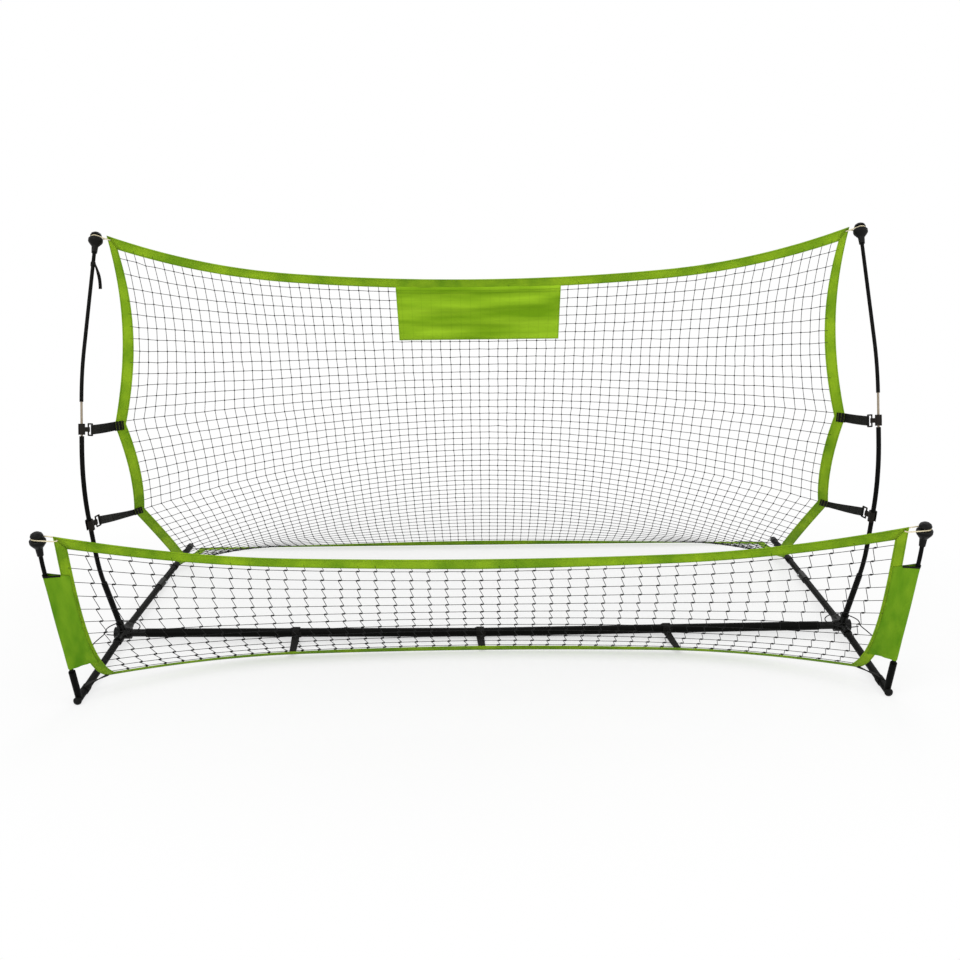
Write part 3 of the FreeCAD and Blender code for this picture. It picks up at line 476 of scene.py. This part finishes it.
replaced = set()


def place(made, slot, node=None):
    """Lets a piece ride on the frame; the first piece for a CAD node hides the node. The slot is not used."""
    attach(made, "frame")
    if node and node not in replaced:
        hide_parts(node)
        replaced.add(node)


def place_joined(name, parts, finish, slot, node):
    """One piece from several (vertices, faces, uvs) parts."""
    vertices, faces, uvs, start = [], [], [], 0
    for part_vertices, part_faces, part_uvs in parts:
        vertices.append(part_vertices)
        faces += [tuple(index + start for index in face) for face in part_faces]
        uvs += part_uvs
        start += len(part_vertices)
    place(new_object(name, np.vstack(vertices), faces, uvs, finish), slot, node)


# Nets

def tubes(paths, radius, reference):
    """Five-sided strands along paths of equally many points; the reference is never along them."""
    sides = 5
    tangent = unit(np.gradient(paths, axis=1))
    side = unit(np.cross(tangent, reference))
    up = np.cross(side, tangent)
    angle = np.arange(sides) * 2 * np.pi / sides
    ring = (side[..., None, :] * np.cos(angle)[:, None] + up[..., None, :] * np.sin(angle)[:, None]) * radius
    vertices = (paths[..., None, :] + ring).reshape(-1, 3)
    lines, points = paths.shape[:2]
    base = np.arange(lines)[:, None, None] * points * sides
    step = np.arange(points - 1)[None, :, None] * sides
    corner = np.arange(sides)[None, None, :]
    following = (corner + 1) % sides
    start = base + step
    ahead = start + sides
    faces = np.stack([start + corner, start + following, ahead + following, ahead + corner], -1)
    return vertices, faces.reshape(-1, 4)


def knots(centres, axes, radii):
    """Small knots with two pointed ends and two rings of six corners; radii are their half sizes."""
    ring = [(math.cos(a), math.sin(a)) for a in np.arange(6) * math.pi / 3]
    shape = [(-1, 0, 0), *((-0.35, y, z) for y, z in ring), *((0.35, y, z) for y, z in ring), (1, 0, 0)]
    vertices = centres[:, None, :] + np.einsum("vk,nkc->nvc", np.array(shape) * radii, axes)
    single = [(0, 1 + (j + 1) % 6, 1 + j) for j in range(6)]
    single += [(1 + j, 1 + (j + 1) % 6, 7 + (j + 1) % 6, 7 + j) for j in range(6)]
    single += [(13, 7 + j, 7 + (j + 1) % 6) for j in range(6)]
    faces = [tuple(start + corner for corner in face)
             for start in range(0, len(centres) * len(shape), len(shape)) for face in single]
    return vertices.reshape(-1, 3), faces


def mesh_points(plan, columns, rows, first_row, seed, wander):
    """A net's knots and the ends of its strands, rows from foot to head and columns from left to right."""
    cloth = plan.cloth
    foot_side, foot_middle = (cloth.tall(STRAND_INSET, u, 0.0) for u in (0.0, 0.5))
    head_side, head_middle = (cloth.tall(STRAND_INSET, u, 1.0) for u in (0.0, 0.5))
    share = np.concatenate([[0.0], (np.arange(rows) + first_row) / (rows - 1 + 2 * first_row), [1.0]])
    across = np.linspace(0, 1, columns + 1)
    bow = 1 - np.abs(2 * across - 1)
    low = foot_side + (foot_middle - foot_side) * bow
    high = 1 - (head_side + (head_middle - head_side) * bow)
    v = low[None, :] + (high - low)[None, :] * share[:, None]
    edge = plan.side(STRAND_INSET)
    left = np.interp(v, edge[:, 1], edge[:, 0])
    # The pull of the straps at the side fades quickly towards the middle
    u = across[None, :] + left * (1 - 2 * across[None, :]) ** 3
    random = np.random.default_rng(seed)
    shift = random.normal(0, wander, (2,) + u.shape)
    shift[:, 0, :] = shift[:, -1, :] = 0
    shift[:, :, 0] = shift[:, :, -1] = 0
    # Both shifts are in metres on a cloth of about 2 m by 1.3 m
    return cloth.at(u + shift[0] / 2.0, v + shift[1] / 1.3) + cloth.normal * LIFT


def place_net(node, parts):
    """Makes a net's strands and knots."""
    for name, (vertices, faces) in parts.items():
        place(new_object(name, vertices, faces, material=net_twine), "net_cord", node)


def knot_axes(along, normal):
    """For each knot its own direction, the one across it in the cloth and the one out of the cloth."""
    side = unit(np.cross(normal, along))
    return np.stack([along, side, np.cross(along, side)], axis=1)


def make_tall_net():
    """Square knotted mesh, 27 mm from knot to knot: upright strands, level strands and knots."""
    points = mesh_points(tall_plan, 74, 45, 0.75, 11, 0.0005)
    normal = tall_cloth.normal
    parts = {
        "tall_net_uprights": tubes(points.transpose(1, 0, 2)[1:-1], TWINE_RADIUS, normal),
        "tall_net_levels": tubes(points[1:-1], TWINE_RADIUS, normal),
    }
    random = np.random.default_rng(5)
    centres = points[1:-1, 1:-1].reshape(-1, 3)
    along = unit(points[1:-1, 2:] - points[1:-1, :-2]).reshape(-1, 3)
    tilt = random.normal(0, 0.35, len(along))
    turned = unit(along + unit(np.cross(normal, along)) * tilt[:, None])
    parts["tall_net_knots"] = knots(centres, knot_axes(turned, normal), (0.0031, 0.0019, 0.0017))
    place_net("tall_net", parts)


def make_front_net():
    """A wider mesh, 45 by 30 mm: each upright runs into a knot's right end and leaves from its left end."""
    points = mesh_points(front_plan, 44, 12, 0.6, 23, 0.0006)
    normal = front_cloth.normal
    along = unit(points[:, 1:] - points[:, :-1])
    along = np.concatenate([along, along[:, -1:]], axis=1)
    half_knot = along * 0.0052
    ends = np.stack([points - half_knot, points + half_knot], axis=1)[1:-1].reshape(-1, *points.shape[1:])
    uprights = np.concatenate([points[:1], ends, points[-1:]])[:, 1:-1].transpose(1, 0, 2)
    inside = points[1:-1, 1:-1].reshape(-1, 3)
    direction = along[1:-1, 1:-1].reshape(-1, 3)
    parts = {
        "front_net_uprights": tubes(uprights, 0.0009, normal),
        "front_net_levels": tubes(points[1:-1], TWINE_RADIUS, normal),
        "front_net_knots": knots(inside, knot_axes(direction, normal), (0.0062, 0.0023, 0.0020)),
    }
    place_net("front_net", parts)


# Across a strip of webbing: share of the width and share of half the thickness, round the section
STRIP_TOP = ((0.02, 0.8), (0.08, 1.0), (0.3, 1.0), (0.5, 1.0), (0.7, 1.0), (0.92, 1.0), (0.98, 0.8))
STRIP_SECTION = ((0.0, 0.0), *STRIP_TOP, (1.0, 0.0), *((t, -height) for t, height in reversed(STRIP_TOP)))


def strip(outer, inner, normal, seed):
    """A folded strip of webbing between an outer and an inner edge line."""
    along = lengths((outer + inner) / 2)
    random = np.random.default_rng(seed)
    wave = np.zeros_like(along)
    for length in (0.31, 0.17, 0.09):
        wave += np.sin(along * 2 * np.pi / length + random.uniform(0, 6)) * 0.0007
    rings = []
    for t, height in STRIP_SECTION:
        ridge = (BORDER_RIDGE + wave) * (1 - abs(2 * t - 1))
        lift = BORDER_HALF * height + ridge + LIFT
        rings.append(outer * (1 - t) + inner * t + normal * lift[:, None])
    around = [BORDER_WIDTH * t for t, _ in STRIP_SECTION] + [0.0]
    return swept_section(np.stack(rings, axis=1), along=along, around=around)


def make_border(prefix, plan, seed):
    """Green webbing folded over the net's edge, mitred at the corners."""
    cloth = plan.cloth
    lines = []
    outer, inner = plan.side(0.0), plan.side(BORDER_WIDTH)
    for side in SIDES.values():
        lines.append([cloth.at(from_side(side, edge[:, 0]), edge[:, 1]) for edge in (outer, inner)])
    for v in (0.0, 1.0):
        lines.append([cloth.at(*plan.level(inset, v).T) for inset in (0.0, BORDER_WIDTH)])
    parts = [strip(*edges, cloth.normal, seed + index) for index, edges in enumerate(lines)]
    place_joined(prefix + "_border_webbing", parts, green_webbing, "green_webbing", prefix + "_net_border")


# Panel and sleeves

def cloth_slab(name, points, normal, thickness, uv, material):
    """A thin sheet with two faces and closed edges over a grid of points."""
    rows, columns = points.shape[:2]
    front = points.reshape(-1, 3)
    back = front + normal * thickness
    flat = uv.reshape(-1, 2)
    faces, uvs = [], []
    total = rows * columns
    for i in range(rows - 1):
        for j in range(columns - 1):
            a, d = i * columns + j, (i + 1) * columns + j
            b, c = a + 1, d + 1
            faces.append((a, b, c, d))
            uvs += [flat[k] for k in (a, b, c, d)]
            faces.append((a + total, d + total, c + total, b + total))
            uvs += [flat[k] for k in (a, d, c, b)]
    rim = [(0, j) for j in range(columns)] + [(i, columns - 1) for i in range(1, rows)]
    rim += [(rows - 1, j) for j in range(columns - 2, -1, -1)] + [(i, 0) for i in range(rows - 2, 0, -1)]
    order = [i * columns + j for i, j in rim]
    for a, b in zip(order, order[1:] + order[:1]):
        faces.append((b, a, a + total, b + total))
        uvs += [flat[b], flat[a], flat[a], flat[b]]
    return new_object(name, np.vstack([front, back]), faces, uvs, material)


def make_panel():
    """The target panel: cloth under the net's head, sewn to it above and at its sides."""
    width, height, hidden = 0.444, 0.163, 0.006
    seam = 1 - tall_cloth.tall(BORDER_WIDTH, 0.5, 1.0)
    head = seam + tall_cloth.tall(hidden, 0.5, 1.0)
    foot = seam - tall_cloth.tall(height, 0.5, seam)
    across = width / 2 * 0.25 / np.linalg.norm(tall_cloth.at(0.75, seam) - tall_cloth.at(0.5, seam))
    s, t = np.meshgrid(np.linspace(0, 1, 55), np.linspace(0, 1, 27))
    u = 0.5 + (2 * s - 1) * across
    v = foot + (head - foot) * t
    loose = smooth(t / 0.12) * smooth((1 - t) / 0.12) * smooth(s / 0.08) * smooth((1 - s) / 0.08)
    wave = np.sin(t * 21.0 + np.sin(s * 5.0) * 0.8) * 0.0011 + np.sin(t * 9.5 + s * 3.0 + 1.0) * 0.0013
    wave += np.sin(s * 17.0 + t * 4.0) * 0.0004
    # The panel lies in front of the net and goes back into the border at its head
    offset = -0.0022 + 0.0031 * smooth((t - 0.955) / 0.04)
    points = tall_cloth.at(u, v) + tall_cloth.normal * offset[..., None]
    points = points + tall_cloth.normals(u, v) * (wave * loose)[..., None]
    uv = np.stack([s * width, (1 - t) * (height + hidden)], axis=-1)
    made = cloth_slab("target_panel_cloth", points, -tall_cloth.normal, 0.001, uv, panel_green)
    place(made, "green_panel", "target_panel")


def sleeve_section(side, z, grow=0.0, insets=(0.002, 0.009, 0.016, 0.023)):
    """The sleeve's outline at a height: round the pole, in to the net's edge and on over the border."""
    # The front pole's axis is straight at these heights
    foot = np.array([side * POLE_X, -0.4962, 0.01069])
    centre = foot + FRONT_UP * (z - foot[2]) / FRONT_UP[2]
    share = front_cloth.height_share(z)
    in_front = -front_cloth.normal * 0.0016
    flat = []
    for inset in insets:
        u = front_cloth.wide(inset, share)
        flat.append(front_cloth.at(from_side(side, u), share) + in_front)
    reach = flat[0] - centre
    ahead = unit(reach - FRONT_UP * reach.dot(FRONT_UP))
    sideways = np.cross(FRONT_UP, ahead)
    # The two layers close in on each other from the pole to the net
    round_pole, at_net = 0.0066 + grow, 0.0007 + grow
    line, half = [], []
    for t in np.linspace(0, 1, 7)[:-1]:
        line.append(centre + (flat[0] - centre) * t)
        half.append(0.0008 + grow + 0.0058 * (1 - t) ** 1.3)
    line, half = np.array(line + flat), np.array(half + [at_net] * len(flat))
    points = np.vstack([line + sideways * half[:, None], (line - sideways * half[:, None])[::-1]])
    back = [centre + (ahead * math.cos(angle) + sideways * math.sin(angle)) * round_pole
            for angle in np.linspace(-math.pi / 2, -3 * math.pi / 2, 9)[1:-1]]
    return np.vstack([points, back]), sideways


def make_sleeve(name, side):
    """Green cloth sewn into a sleeve round the front pole and to the net's side, with a dark hem on top."""
    rings = []
    foot, head = 0.109, 0.388
    for z in np.linspace(foot, head, 40):
        section, sideways = sleeve_section(side, z)
        ripple = np.array([math.sin(k * 1.9 + z * 24 * side) for k in range(len(section))])
        fade = 0.0009 * min(1.0, (head - z) / 0.02)
        rings.append(section + sideways * (ripple * fade)[:, None])
    rings = np.array(rings)
    vertices, faces, uvs = swept_section(rings, ends=False)
    made = new_object("pole_sleeve_cloth_" + name, vertices, faces, uvs, sleeve_green)
    place(made, "green_sleeve", "pole_sleeve_" + name)
    hem = [sleeve_section(side, z, 0.0006, (0.0015,))[0] for z in (0.3835, 0.3852, 0.3872, 0.3889)]
    vertices, faces, uvs = swept_section(np.array(hem), ends=False)
    hem_piece = new_object("pole_sleeve_hem_" + name, vertices, faces, uvs, black_webbing)
    place(hem_piece, "black_webbing")


# Straps

def ribbon(centres, widths, thickness):
    """A flat strap along centres; widths are its half-width vectors. Returns vertices, faces and UVs."""
    widths = np.asarray(widths, float)
    tangent = unit(np.gradient(centres, axis=0))
    normal = unit(np.cross(tangent, widths))
    rings = []
    for t, height in STRIP_SECTION:
        rings.append(centres + widths * (2 * t - 1) + normal * (height * thickness / 2))
    around = [2 * np.linalg.norm(widths[0]) * t for t, _ in STRIP_SECTION] + [0.0]
    return swept_section(np.stack(rings, axis=1), along=lengths(centres), around=around)


def arc(centre, first, second, radius, start, stop, count):
    """Points round a centre from one angle to another, in the plane of two unit vectors."""
    angles = np.radians(np.linspace(start, stop, count))
    return centre + (np.outer(np.cos(angles), first) + np.outer(np.sin(angles), second)) * radius


def sagging(start, end, count, sag=0.0):
    """Points from start to end, hanging down by sag in the middle."""
    t = np.linspace(0, 1, count)[:, None]
    return start + (end - start) * t - np.array([0.0, 0.0, sag]) * (4 * t * (1 - t))


def rail_point(side, distance, rear):
    """A point on a rail's axis at a distance from the hub, and the axis, which falls a little."""
    hub = np.array([side * POLE_X, SHIFT, 0.024])
    end = np.array([side * POLE_X, (0.759 if rear else -0.381) + SHIFT, 0.0102])
    axis = unit(end - hub)
    return hub + axis * distance, axis


def make_bar_straps():
    """Three black straps, each wrapped round the crossbar and sewn to the foot of the front net."""
    parts = []
    net_foot_width = 1.958
    for x, foot_x in ((-0.531, -0.525), (-0.006, 0.0), (0.525, 0.541)):
        # The crossbar rises a little from its middle to the hubs
        centre = np.array([x, SHIFT, 0.01425 + abs(x) * 0.00975 / POLE_X])
        radius = BAR_RADIUS + FIT + WEB_THICKNESS / 2
        back, up = np.array([0.0, 1.0, 0.0]), np.array([0.0, 0.0, 1.0])
        turns = arc(centre, -back, up, radius, 30, -292, 26)
        turns += np.outer(np.linspace(0.004, -0.004, 26), [1, 0, 0])
        second = arc(centre, -back, up, radius + WEB_THICKNESS, 140, -20, 18)
        parts.append(ribbon(turns, [(WEB / 2, 0, 0)] * 26, WEB_THICKNESS))
        edge = front_cloth.at(0.5 + foot_x / net_foot_width, 0.0) + np.array([0.0, 0.004, 0.0016])
        # The outer turn is folded narrower and tapers towards the net
        path = np.vstack([second, sagging(second[-1], edge, 10, 0.0015)[1:]])
        widths = np.tile([0.0112, 0, 0], (len(path), 1))
        widths[-9:] *= np.linspace(1.0, 0.82, 9)[:, None]
        parts.append(ribbon(path, widths, WEB_THICKNESS * 1.1))
    place_joined("crossbar_webbing_straps", parts, black_webbing, "black_webbing", "crossbar_straps")


def rail_strap(centre, axis, side, angle, cloth, u, v):
    """A loop of webbing round a rail; its two ends lie together and are sewn to the net's border."""
    turn = math.radians(angle)
    outward = np.array([-side * math.cos(turn), 0, math.sin(turn)])
    across = np.cross(axis, outward)
    radius = RAIL_RADIUS + FIT + WEB_THICKNESS / 2
    half_share = cloth.tall(0.008, u, v)
    end = cloth.at(u, v) - cloth.normal * 0.0013
    end_half = (cloth.at(u, v + half_share) - cloth.at(u, v - half_share)) / 2
    loop = arc(centre, outward, across, radius, 9, 351, 34)
    straight = axis * WEB / 2
    parts = []
    for tip, sign in ((loop[0], 1), (loop[-1], -1)):
        t = np.linspace(0, 1, 14)[1:, None]
        thin = across * (sign * WEB_THICKNESS / 2)
        tab = tip * (1 - t) + (end + thin * (1 - t)) * t
        widths = np.vstack([[straight] * 3, straight * (1 - smooth(t)) + end_half * smooth(t)])
        parts.append(ribbon(np.vstack([loop[2::-1], tab]), widths, WEB_THICKNESS))
    return parts + [ribbon(loop, [straight] * len(loop), WEB_THICKNESS)]


def make_corner_straps():
    """Black straps round the rails, at the front net's lower corners and at the tall net's sides."""
    parts = []
    for side in SIDES.values():
        inset = 0.008
        u = front_cloth.wide(inset, 0.0)
        v = front_cloth.tall(0.016, 0.0, 0.0)
        centre, axis = rail_point(side, 0.319, False)
        parts += rail_strap(centre, axis, side, 80, front_cloth, from_side(side, u), v)
        u = tall_cloth.wide(inset, LOOP_STATION)
        centre, axis = rail_point(side, 0.549, True)
        parts += rail_strap(centre, -axis, side, 20, tall_cloth, from_side(side, u), LOOP_STATION)
    place_joined("corner_webbing_straps", parts, black_webbing, "black_webbing", "corner_straps")


# Strap rings on the right side: the far bar's middle, the pole's direction and the way out to the net
RINGS = {
    "lower": ((1.00734, -0.25797, 0.40863), (0.0, -0.19081, 0.98163), (-0.55175, 0.81869, 0.15914)),
    "upper": ((1.00702, -0.23755, 0.64875), (0.0, 0.29237, 0.9563), (-0.56179, 0.79113, -0.24187)),
}


def strap_course(level, side):
    """A side strap's line and half-widths, and how many points its loop in the ring has."""
    mirror = np.array([side, 1.0, 1.0])
    bar, up, out = (np.array(v) * mirror for v in RINGS[level])
    station = STATIONS[level]
    half_share = tall_cloth.tall(WEB / 2, 0.0, station)
    low, edge, high = (tall_cloth.at(from_side(side, 0.0), station + shift)
                       for shift in (-half_share, 0.0, half_share))
    sideways = unit(np.cross(up, out))
    if sideways.dot(tall_cloth.normal) > 0:
        sideways = -sideways
    loop = arc(bar, -out, sideways, RING_BAR_RADIUS + FIT + WEB_THICKNESS / 2, -120, 90, 12)
    reach = sagging(loop[-1], edge - tall_cloth.normal * STRAP_LIFT, 20, 0.0008)[1:]
    turn = smooth(np.concatenate([np.zeros(len(loop)), np.linspace(0, 1, 20)[1:]]))[:, None]
    widths = (up * WEB / 2) * (1 - turn) + (high - low) / 2 * turn
    return np.vstack([loop, reach]), unit(widths) * WEB / 2, len(loop)


def make_strap_patch(full, station, side):
    """The end of a side strap, sewn flat on the border."""
    length = 0.024
    inward = np.linspace(0.0, tall_cloth.wide(length, station), 6)
    spread = np.linspace(-1, 1, 7) * tall_cloth.tall(WEB / 2, 0.0, station)
    grid_v, grid_u = np.meshgrid(station + spread, from_side(side, inward))
    points = tall_cloth.at(grid_u, grid_v) - tall_cloth.normal * STRAP_LIFT
    uv = np.stack(np.meshgrid(np.linspace(0, WEB, 7), np.linspace(0, length, 6)), axis=-1)
    patch = cloth_slab("side_strap_patch_" + full, points, -tall_cloth.normal, WEB_THICKNESS, uv,
                       patch_webbing)
    place(patch, "strap_webbing")


def make_side_strap(level, name, side):
    """A black strap from a ring's far bar to the border: near part, far part and the sewn patch."""
    centres, widths, looped = strap_course(level, side)
    split = looped + 5
    full = "%s_%s" % (level, name)
    near = new_object("side_strap_near_" + full,
                      *ribbon(centres[:split + 1], widths[:split + 1], WEB_THICKNESS), black_webbing)
    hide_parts("side_strap_" + full)
    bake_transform(near)
    far = new_object("side_strap_far_" + full, *ribbon(centres[split:], widths[split:], WEB_THICKNESS),
                     black_webbing)
    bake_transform(far)
    make_strap_patch(full, STATIONS[level], side)


def make_leaf_spring(name, side):
    """The folded leaf spring behind a snap button: a base and the limb under the button, which on the real
    spring goes in with it.
    """
    thickness = 0.0006
    low, high = (np.array(corner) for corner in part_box("button_spring_" + name))
    middle = (low + high) / 2
    outward, along = np.array([side, 0.0, 0.0]), np.array([0.0, 1.0, 0.0])
    bend = (high[0] - low[0] - thickness) / 2
    turn = np.array([middle[0], high[1] - thickness / 2 - bend, middle[2]])
    fold = arc(turn, outward, along, bend, 0, 180, 13)
    reach = turn[1] - low[1]
    free_end = fold[-1] - along * reach
    # The base is a little shorter than the limb
    lines = {
        "base": np.vstack([fold[0] - along * (reach - 0.0025), fold]),
        "limb": sagging(fold[-1], free_end, 12),
    }
    made = {}
    for part, centres in lines.items():
        widths = [(0.0, 0.0, (high[2] - low[2]) / 2)] * len(centres)
        made[part] = new_object("button_spring_%s_%s" % (part, name), *ribbon(centres, widths, thickness),
                                steel_plated)
    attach(made["base"], "frame")
    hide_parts("button_spring_" + name)
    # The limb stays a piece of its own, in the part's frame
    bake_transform(made["limb"])


def make_tie_strap():
    """A narrow black strap round the left tall pole, its tail hanging free."""
    centre = np.array([-POLE_X, -0.04287, 1.05434])
    up = np.array([0.0, 0.55919, 0.82904])
    across = np.array([1.0, 0.0, 0.0])
    back = np.cross(up, across)
    pole_radius = 0.0049
    loop = arc(centre, across, back, pole_radius + FIT + WEB_THICKNESS / 2, -60, 330, 28)
    end = centre + np.array([0.0115, 0.002, -0.066])
    tail = np.array([loop[-1] * (1 - t) + end * t + np.array([0.004, 0, 0]) * math.sin(t * math.pi)
                     for t in np.linspace(0, 1, 14)[1:]])
    turn = smooth(np.linspace(0, 1, 14)[1:] * 2.2)[:, None]
    half = up * 0.0055
    widths = np.vstack([[half] * 28, half * (1 - turn) + np.array([0.0042, 0.001, 0.0]) * turn])
    vertices, faces, uvs = ribbon(np.vstack([loop, tail]), widths, 0.0013)
    made = new_object("pole_tie_webbing", vertices, faces, uvs, black_webbing)
    place(made, "black_webbing", "pole_tie_strap")


# Cords

def make_cord(name, route, side, radius, material, slot, node):
    """A round cord along a route of the right side, on the side asked for; returns it and its points."""
    points = [(side * x, y, z) for x, y, z in route]
    curve = bpy.data.curves.new(name, "CURVE")
    curve.dimensions = "3D"
    curve.bevel_depth = radius
    curve.bevel_resolution = 3
    curve.use_fill_caps = True
    curve.resolution_u = 8
    spline = curve.splines.new("NURBS")
    spline.points.add(len(points) - 1)
    for target, point in zip(spline.points, points):
        target.co = (*point, 1.0)
    spline.order_u = 3
    spline.use_endpoint_u = True
    curve.materials.append(material)
    made = linked(name, curve)
    place(made, slot, node)
    return made, points


# The cords' routes on the right side, as control points of a smooth spline
# Each elastic: in the corner's eye, over the corner, round the cap's groove, back under the corner
ELASTIC_ROUTES = {
    "tall": ((0.98884, 0.00719, 1.11553), (0.98884, 0.00951, 1.11710), (1.01782, 0.01210, 1.11435),
             (1.02798, 0.01301, 1.11338), (1.03641, 0.00818, 1.11664), (1.03841, -0.00015, 1.12226),
             (1.03285, -0.00728, 1.12707), (1.02287, -0.00921, 1.12837), (1.01402, -0.00615, 1.12421),
             (0.98884, 0.00255, 1.11240), (0.98884, 0.00454, 1.11374)),
    "front": ((0.97961, -0.61484, 0.48153), (0.97961, -0.61124, 0.48405), (1.01826, -0.60637, 0.48778),
              (1.02748, -0.60521, 0.48866), (1.03550, -0.60995, 0.48800), (1.03848, -0.61871, 0.48677),
              (1.03500, -0.62729, 0.48556), (1.02672, -0.63157, 0.48496), (1.01773, -0.62951, 0.48352),
              (0.97961, -0.62074, 0.47740), (0.97961, -0.61746, 0.47969)),
}
# From the knot up the tail, then once round the hub on its three arms
HUB_CORD_ROUTE = ((1.09378, -0.19195, 0.01710), (1.08100, -0.17900, 0.02700), (1.06450, -0.15950, 0.03700),
                  (1.07560, -0.12600, 0.03500), (1.06600, -0.09900, 0.03550), (1.04210, -0.08170, 0.03830),
                  (1.00790, -0.08170, 0.03830), (0.97800, -0.11160, 0.03830), (0.97800, -0.14580, 0.03830),
                  (1.00790, -0.17570, 0.03830), (1.04210, -0.17570, 0.03830), (1.05950, -0.16450, 0.03560))
# Once round the rear rail, under it and over it, then to the foot of the tall net
REAR_TIE_ROUTE = ((1.01452, 0.55880, 0.00712), (1.02066, 0.55921, 0.00098), (1.02934, 0.55981, 0.00097),
                  (1.03548, 0.56051, 0.00710), (1.03548, 0.56127, 0.01578), (1.02934, 0.56199, 0.02192),
                  (1.02120, 0.56300, 0.02300), (1.01320, 0.56680, 0.02220), (0.89100, 0.62368, 0.00760))


def make_elastic_loop(prefix, name, side):
    """Cream elastic round the cap's groove, over and under the border's corner and through its eye."""
    radius = 0.0015
    made, points = make_cord("%s_elastic_loop_%s" % (prefix, name), ELASTIC_ROUTES[prefix], side, radius,
                             cream_elastic, "cream_elastic", "elastic_loops")


def make_hub_cord(name, side):
    """A black elastic cord lashed loosely round the hub, with a knotted tail."""
    radius = 0.0015
    made, points = make_cord("hub_lashing_cord_" + name, HUB_CORD_ROUTE, side, radius, black_cord,
                             "black_cord", "hub_cords")
    vertices, faces = knots(np.array(points[:1]), np.eye(3)[None], (0.0042, 0.0036, 0.0034))
    knot = new_object("hub_cord_knot_" + name, vertices, faces, material=black_cord)
    place(knot, "black_cord")


def make_rear_tie(name, side):
    """A thin black cord tied round the rear rail and to the foot of the tall net."""
    radius = 0.0009
    made, points = make_cord("rear_tie_cord_" + name, REAR_TIE_ROUTE, side, radius, black_cord,
                             "black_cord", "rear_tie_cords")


# Build the pieces

make_tall_net()
make_front_net()
make_border("tall", tall_plan, 31)
make_border("front", front_plan, 47)
make_panel()
make_bar_straps()
make_corner_straps()
make_tie_strap()
for side_name, side_sign in SIDES.items():
    make_sleeve(side_name, side_sign)
    make_leaf_spring(side_name, side_sign)
    for strap_level in ("lower", "upper"):
        make_side_strap(strap_level, side_name, side_sign)
    make_elastic_loop("tall", side_name, side_sign)
    make_elastic_loop("front", side_name, side_sign)
    make_hub_cord(side_name, side_sign)
    make_rear_tie(side_name, side_sign)


# Studio

def seen_directly(finish):
    """1 on rays from the camera and in reflections or through glass, 0 on the rays that light the object."""
    rays = finish.add("ShaderNodeLightPath").outputs
    mirrored_rays = finish.math("MAXIMUM", rays["Is Glossy Ray"], rays["Is Transmission Ray"])
    return finish.math("MAXIMUM", rays["Is Camera Ray"], mirrored_rays)


WHITE = (1.0, 1.0, 1.0, 1.0)


def white_floor():
    """A matt floor that keeps the object's soft shadow and turns plain white farther away."""
    finish = Finish("white floor", 1.0, specular=0.0)
    finish.colour((0.9, 0.9, 0.9, 1.0))
    flattened = {0: finish.coordinates(), 1: (0.62, 0.8, 0.0)}
    away = finish.add("ShaderNodeVectorMath", flattened, operation="MULTIPLY")
    distance = finish.add("ShaderNodeVectorMath", {0: away.outputs[0]}, operation="LENGTH").outputs["Value"]
    far = finish.math("MULTIPLY", finish.span(distance, 0.35, 1.1), 0.5)
    share = finish.math("MULTIPLY", finish.math("ADD", far, 0.5), seen_directly(finish))
    glow = finish.add("ShaderNodeEmission", {"Color": WHITE, "Strength": 1.0}).outputs[0]
    either = finish.add("ShaderNodeMixShader", {0: share, 1: finish.shader.outputs[0], 2: glow}).outputs[0]
    finish.tree.links.new(either, finish.output.inputs[0])
    return finish.material


floor = new_object("studio_floor", [(-9, -9, -0.0005), (9, -9, -0.0005), (9, 9, -0.0005), (-9, 9, -0.0005)],
                   [(0, 1, 2, 3)], material=white_floor())

# The world's soft light, seen as plain white
world = bpy.data.worlds.new("white studio")
bpy.context.scene.world = world
world.use_nodes = True
backdrop = Nodes(world.node_tree)
soft_sky = backdrop.add("ShaderNodeBackground", {"Color": WHITE, "Strength": 0.56})
white_wall = backdrop.add("ShaderNodeBackground", {"Color": WHITE, "Strength": 1.0})
either_sky = backdrop.add("ShaderNodeMixShader", {
    0: seen_directly(backdrop), 1: soft_sky.outputs[0], 2: white_wall.outputs[0]})
backdrop.add("ShaderNodeOutputWorld", {"Surface": either_sky.outputs[0]})


def area_light(name, position, target, size, power):
    """A square soft light that faces the target."""
    data = bpy.data.lights.new(name, "AREA")
    data.shape = "SQUARE"
    data.size = size
    data.energy = power
    made = linked(name, data)
    made.location = position
    made.rotation_euler = (Vector(target) - Vector(position)).to_track_quat("-Z", "Y").to_euler()
    return made


area_light("key light", (-1.8, -3.2, 3.6), (0, 0, 0.4), 2.6, 88.0)
area_light("fill light", (2.8, -2.4, 2.4), (0, 0, 0.4), 2.6, 44.0)
area_light("back light", (0.6, 3.4, 3.2), (0, 0.2, 0.5), 2.4, 58.0)

# The photo's camera, found from the straight rails, the crossbar and the square mesh
YAW, PITCH, ROLL = math.radians(-0.16), math.radians(16.668), math.radians(0.691)
forward = Vector((math.sin(YAW) * math.cos(PITCH), math.cos(YAW) * math.cos(PITCH), -math.sin(PITCH)))
right = Vector((math.cos(YAW), -math.sin(YAW), 0.0))
down = forward.cross(right)
turned_right = right * math.cos(ROLL) + down * math.sin(ROLL)
turned_down = down * math.cos(ROLL) - right * math.sin(ROLL)
camera_data = bpy.data.cameras.new("camera")
camera_data.sensor_width = 36.0
camera_data.lens = 41.25
camera_data.clip_end = 60.0
camera = linked("camera", camera_data)
rows = zip(turned_right, -turned_down, -forward, (0.0068, -3.0149, 1.332))
camera.matrix_world = Matrix([*rows, (0, 0, 0, 1)])
bpy.context.scene.camera = camera
bpy.context.scene.view_settings.view_transform = "Standard"
